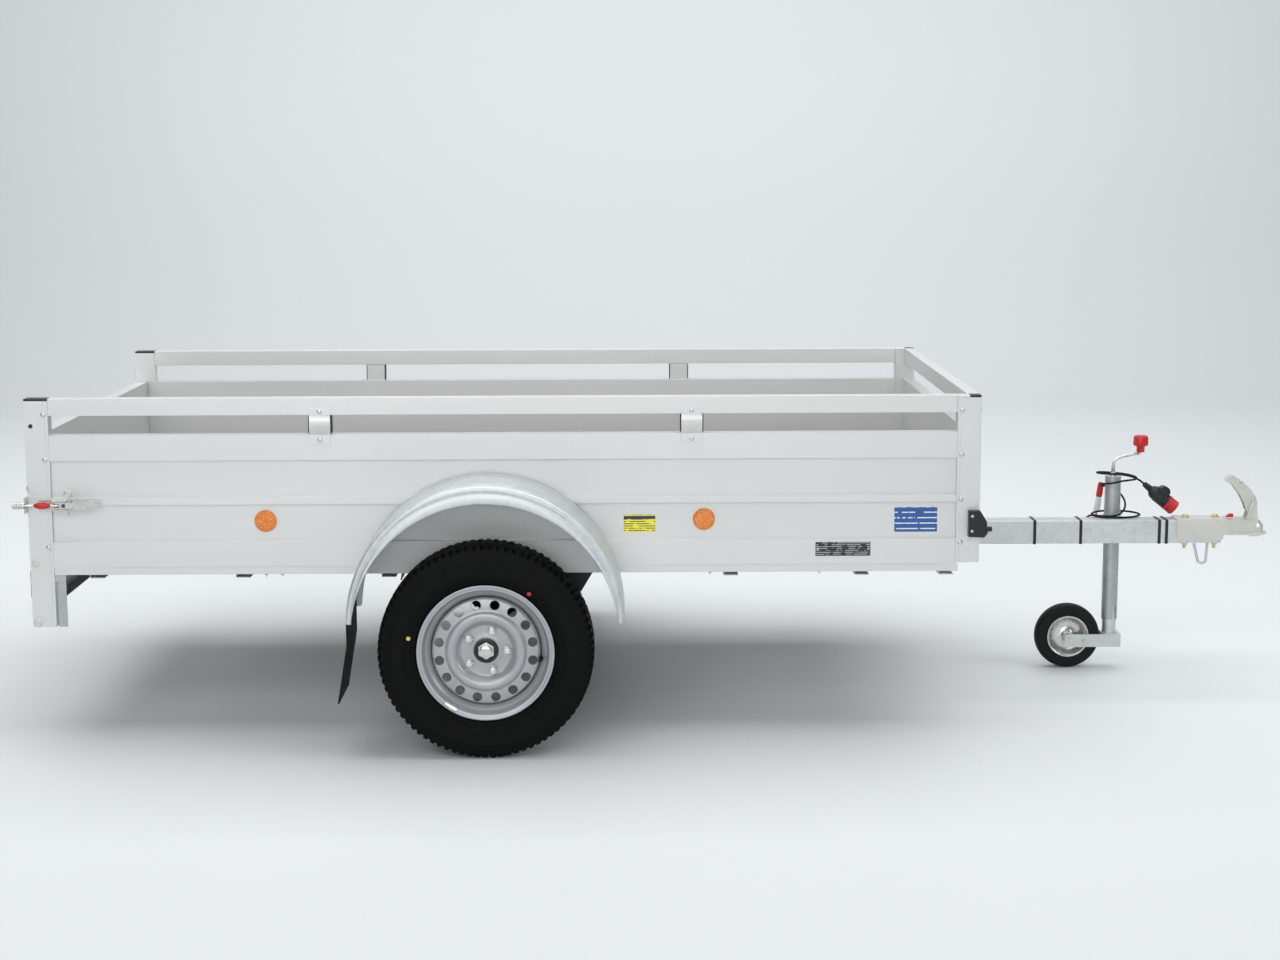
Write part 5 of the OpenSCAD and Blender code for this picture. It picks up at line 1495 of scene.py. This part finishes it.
class TRAILER_OT_small_parts(bpy.types.Operator):
    """Adds the post folds, the red strip, screw tips, rivet nuts on the drawbar and the wiring under the
    floor
    """
    bl_idname = "trailer.small_parts"
    bl_label = "Small parts"

    def execute(self, context):
        self.caps()
        self.folds()
        self.strip()
        self.screw_tips()
        self.drawbar_marks()
        self.wiring()
        return {"FINISHED"}

    def caps(self):
        """Black plastic caps: whole on the rear posts, half the top of the front posts."""
        z0 = low("post_caps").z
        black = []
        bare = []
        for sign in (-1, 1):
            y0, y1 = sorted((sign * INNER_HALF, sign * HALF_BOX))
            black.append(block((BOX_REAR, y0, z0), (BOX_REAR + 0.064, y1, RAIL_TOP)))
            black.append(block((BOX_FRONT - 0.031, y0, z0), (BOX_FRONT, y1, RAIL_TOP)))
            bare.append(block((BOX_FRONT - 0.064, y0, z0), (BOX_FRONT - 0.0312, y1, RAIL_TOP - 0.0004)))
        add_piece(joined(*black), "black_caps", "chassis", "black plastic", edge=0.0022,
                  replaces=["post_caps"])
        add_piece(joined(*bare), "post_tops", "chassis", "aluminium", edge=0.0012)

    def folds(self):
        """Narrow flange along the inner edge of each post."""
        parts = []
        for sign in (-1, 1):
            for x, foot in ((BOX_REAR + 0.056, low("rear_posts").z),
                            (BOX_FRONT - 0.055, low("front_posts").z)):
                y0, y1 = sorted((sign * HALF_BOX, sign * (HALF_BOX + 0.0008)))
                parts.append(block((x - 0.0009, y0, foot + 0.001), (x + 0.0009, y1, RAIL_TOP - 0.008)))
        add_piece(joined(*parts), "post_folds", "chassis", "aluminium", edge=0.0004)

    def strip(self):
        """Red reflective strips on the inner corners of the rear posts."""
        parts = []
        for sign in (-1, 1):
            y0, y1 = sorted((sign * INNER_HALF, sign * (INNER_HALF - 0.0008)))
            parts.append(block((WHEEL.x - 1.237, y0, 0.772), (WHEEL.x - 1.222, y1, 0.832)))
        add_piece(joined(*parts), "gate_strips", "chassis", "red lens")

    def screw_tips(self):
        parts = []
        for sign in (-1, 1):
            for x in (-0.610, -0.566, 0.601, 0.900):
                spot = Vector((WHEEL.x + x, sign * (HALF_BOX - 0.012), low("sills").z))
                parts.append(round_bar(spot, spot - Vector((0, 0, 0.009)), 0.0022, 12, 0.0012))
                parts.append(round_bar(spot, spot - Vector((0, 0, 0.003)), 0.0055, 6))
        add_piece(joined(*parts), "sill_screws", "chassis", "zinc")

    def drawbar_marks(self):
        """Two rivet nuts on the near face of the drawbar."""
        parts = []
        for x in (1.808, 1.915):
            spot = Vector((WHEEL.x + x, -BAR_HALF, 0.4435))
            parts.append(ring(spot, 0.0062, 0.0010, (0, 1, 0), 28, 8))
        add_piece(joined(*parts), "drawbar_nuts", "chassis", "galvanised")

    def wiring(self):
        """Loom along the light beam, with its ties."""
        x = BOX_REAR + 0.034
        y = INNER_HALF - 0.03
        z = 0.418
        points = smooth_path([(x, -y, z + 0.010), (x + 0.012, -y + 0.05, z + 0.022),
                              (x + 0.006, -0.50, z + 0.008),
                              (x + 0.010, -0.40, z + 0.016), (x + 0.004, -0.25, z),
                              (x + 0.006, 0.0, z + 0.006),
                              (x + 0.004, 0.25, z), (x + 0.010, 0.42, z + 0.014),
                              (x + 0.006, y - 0.04, z + 0.006)], 5)
        tube_along(points, 0.0038, "loom", "black rubber", "chassis", 4)
        branch = smooth_path([(x + 0.010, -0.42, z + 0.014), (x + 0.060, -0.44, z + 0.030),
                              (x + 0.140, -0.46, z + 0.036), (x + 0.240, -0.47, z + 0.034)], 5)
        tube_along(branch, 0.0034, "loom_branch", "black rubber", "chassis", 4)
        ties = [ring(point, 0.0050, 0.0012, (0, 1, 0.2), 16, 6) for point in points[4::8]]
        add_piece(joined(*ties), "loom_ties", "chassis", "black plastic")


STEPS = (TRAILER_OT_stage, TRAILER_OT_cable, TRAILER_OT_frame_finishes, TRAILER_OT_tyres,
         TRAILER_OT_rims,
         TRAILER_OT_mudguards, TRAILER_OT_labels, TRAILER_OT_reflectors, TRAILER_OT_lamps,
         TRAILER_OT_latches,
         TRAILER_OT_jockey, TRAILER_OT_coupling, TRAILER_OT_small_parts)


class TRAILER_PT_panel(bpy.types.Panel):
    """Shows the trailer's settings and a button for each step"""
    bl_idname = "TRAILER_PT_panel"
    bl_label = "Trailer"
    bl_space_type = "VIEW_3D"
    bl_region_type = "UI"
    bl_category = "Trailer"

    def draw(self, context):
        layout = self.layout
        for name in TrailerSizes.__annotations__:
            layout.prop(context.scene.trailer_sizes, name)
        for step in STEPS:
            layout.operator(step.bl_idname)


CLASSES = (TrailerSizes, *STEPS, TRAILER_PT_panel)


def register():
    for item in CLASSES:
        bpy.utils.register_class(item)
    bpy.types.Scene.trailer_sizes = bpy.props.PointerProperty(type=TrailerSizes)


def unregister():
    del bpy.types.Scene.trailer_sizes
    for item in reversed(CLASSES):
        bpy.utils.unregister_class(item)


def main():
    register()
    for step in STEPS:
        group, name = step.bl_idname.split(".")
        getattr(getattr(bpy.ops, group), name)()


if __name__ == "__main__":
    main()
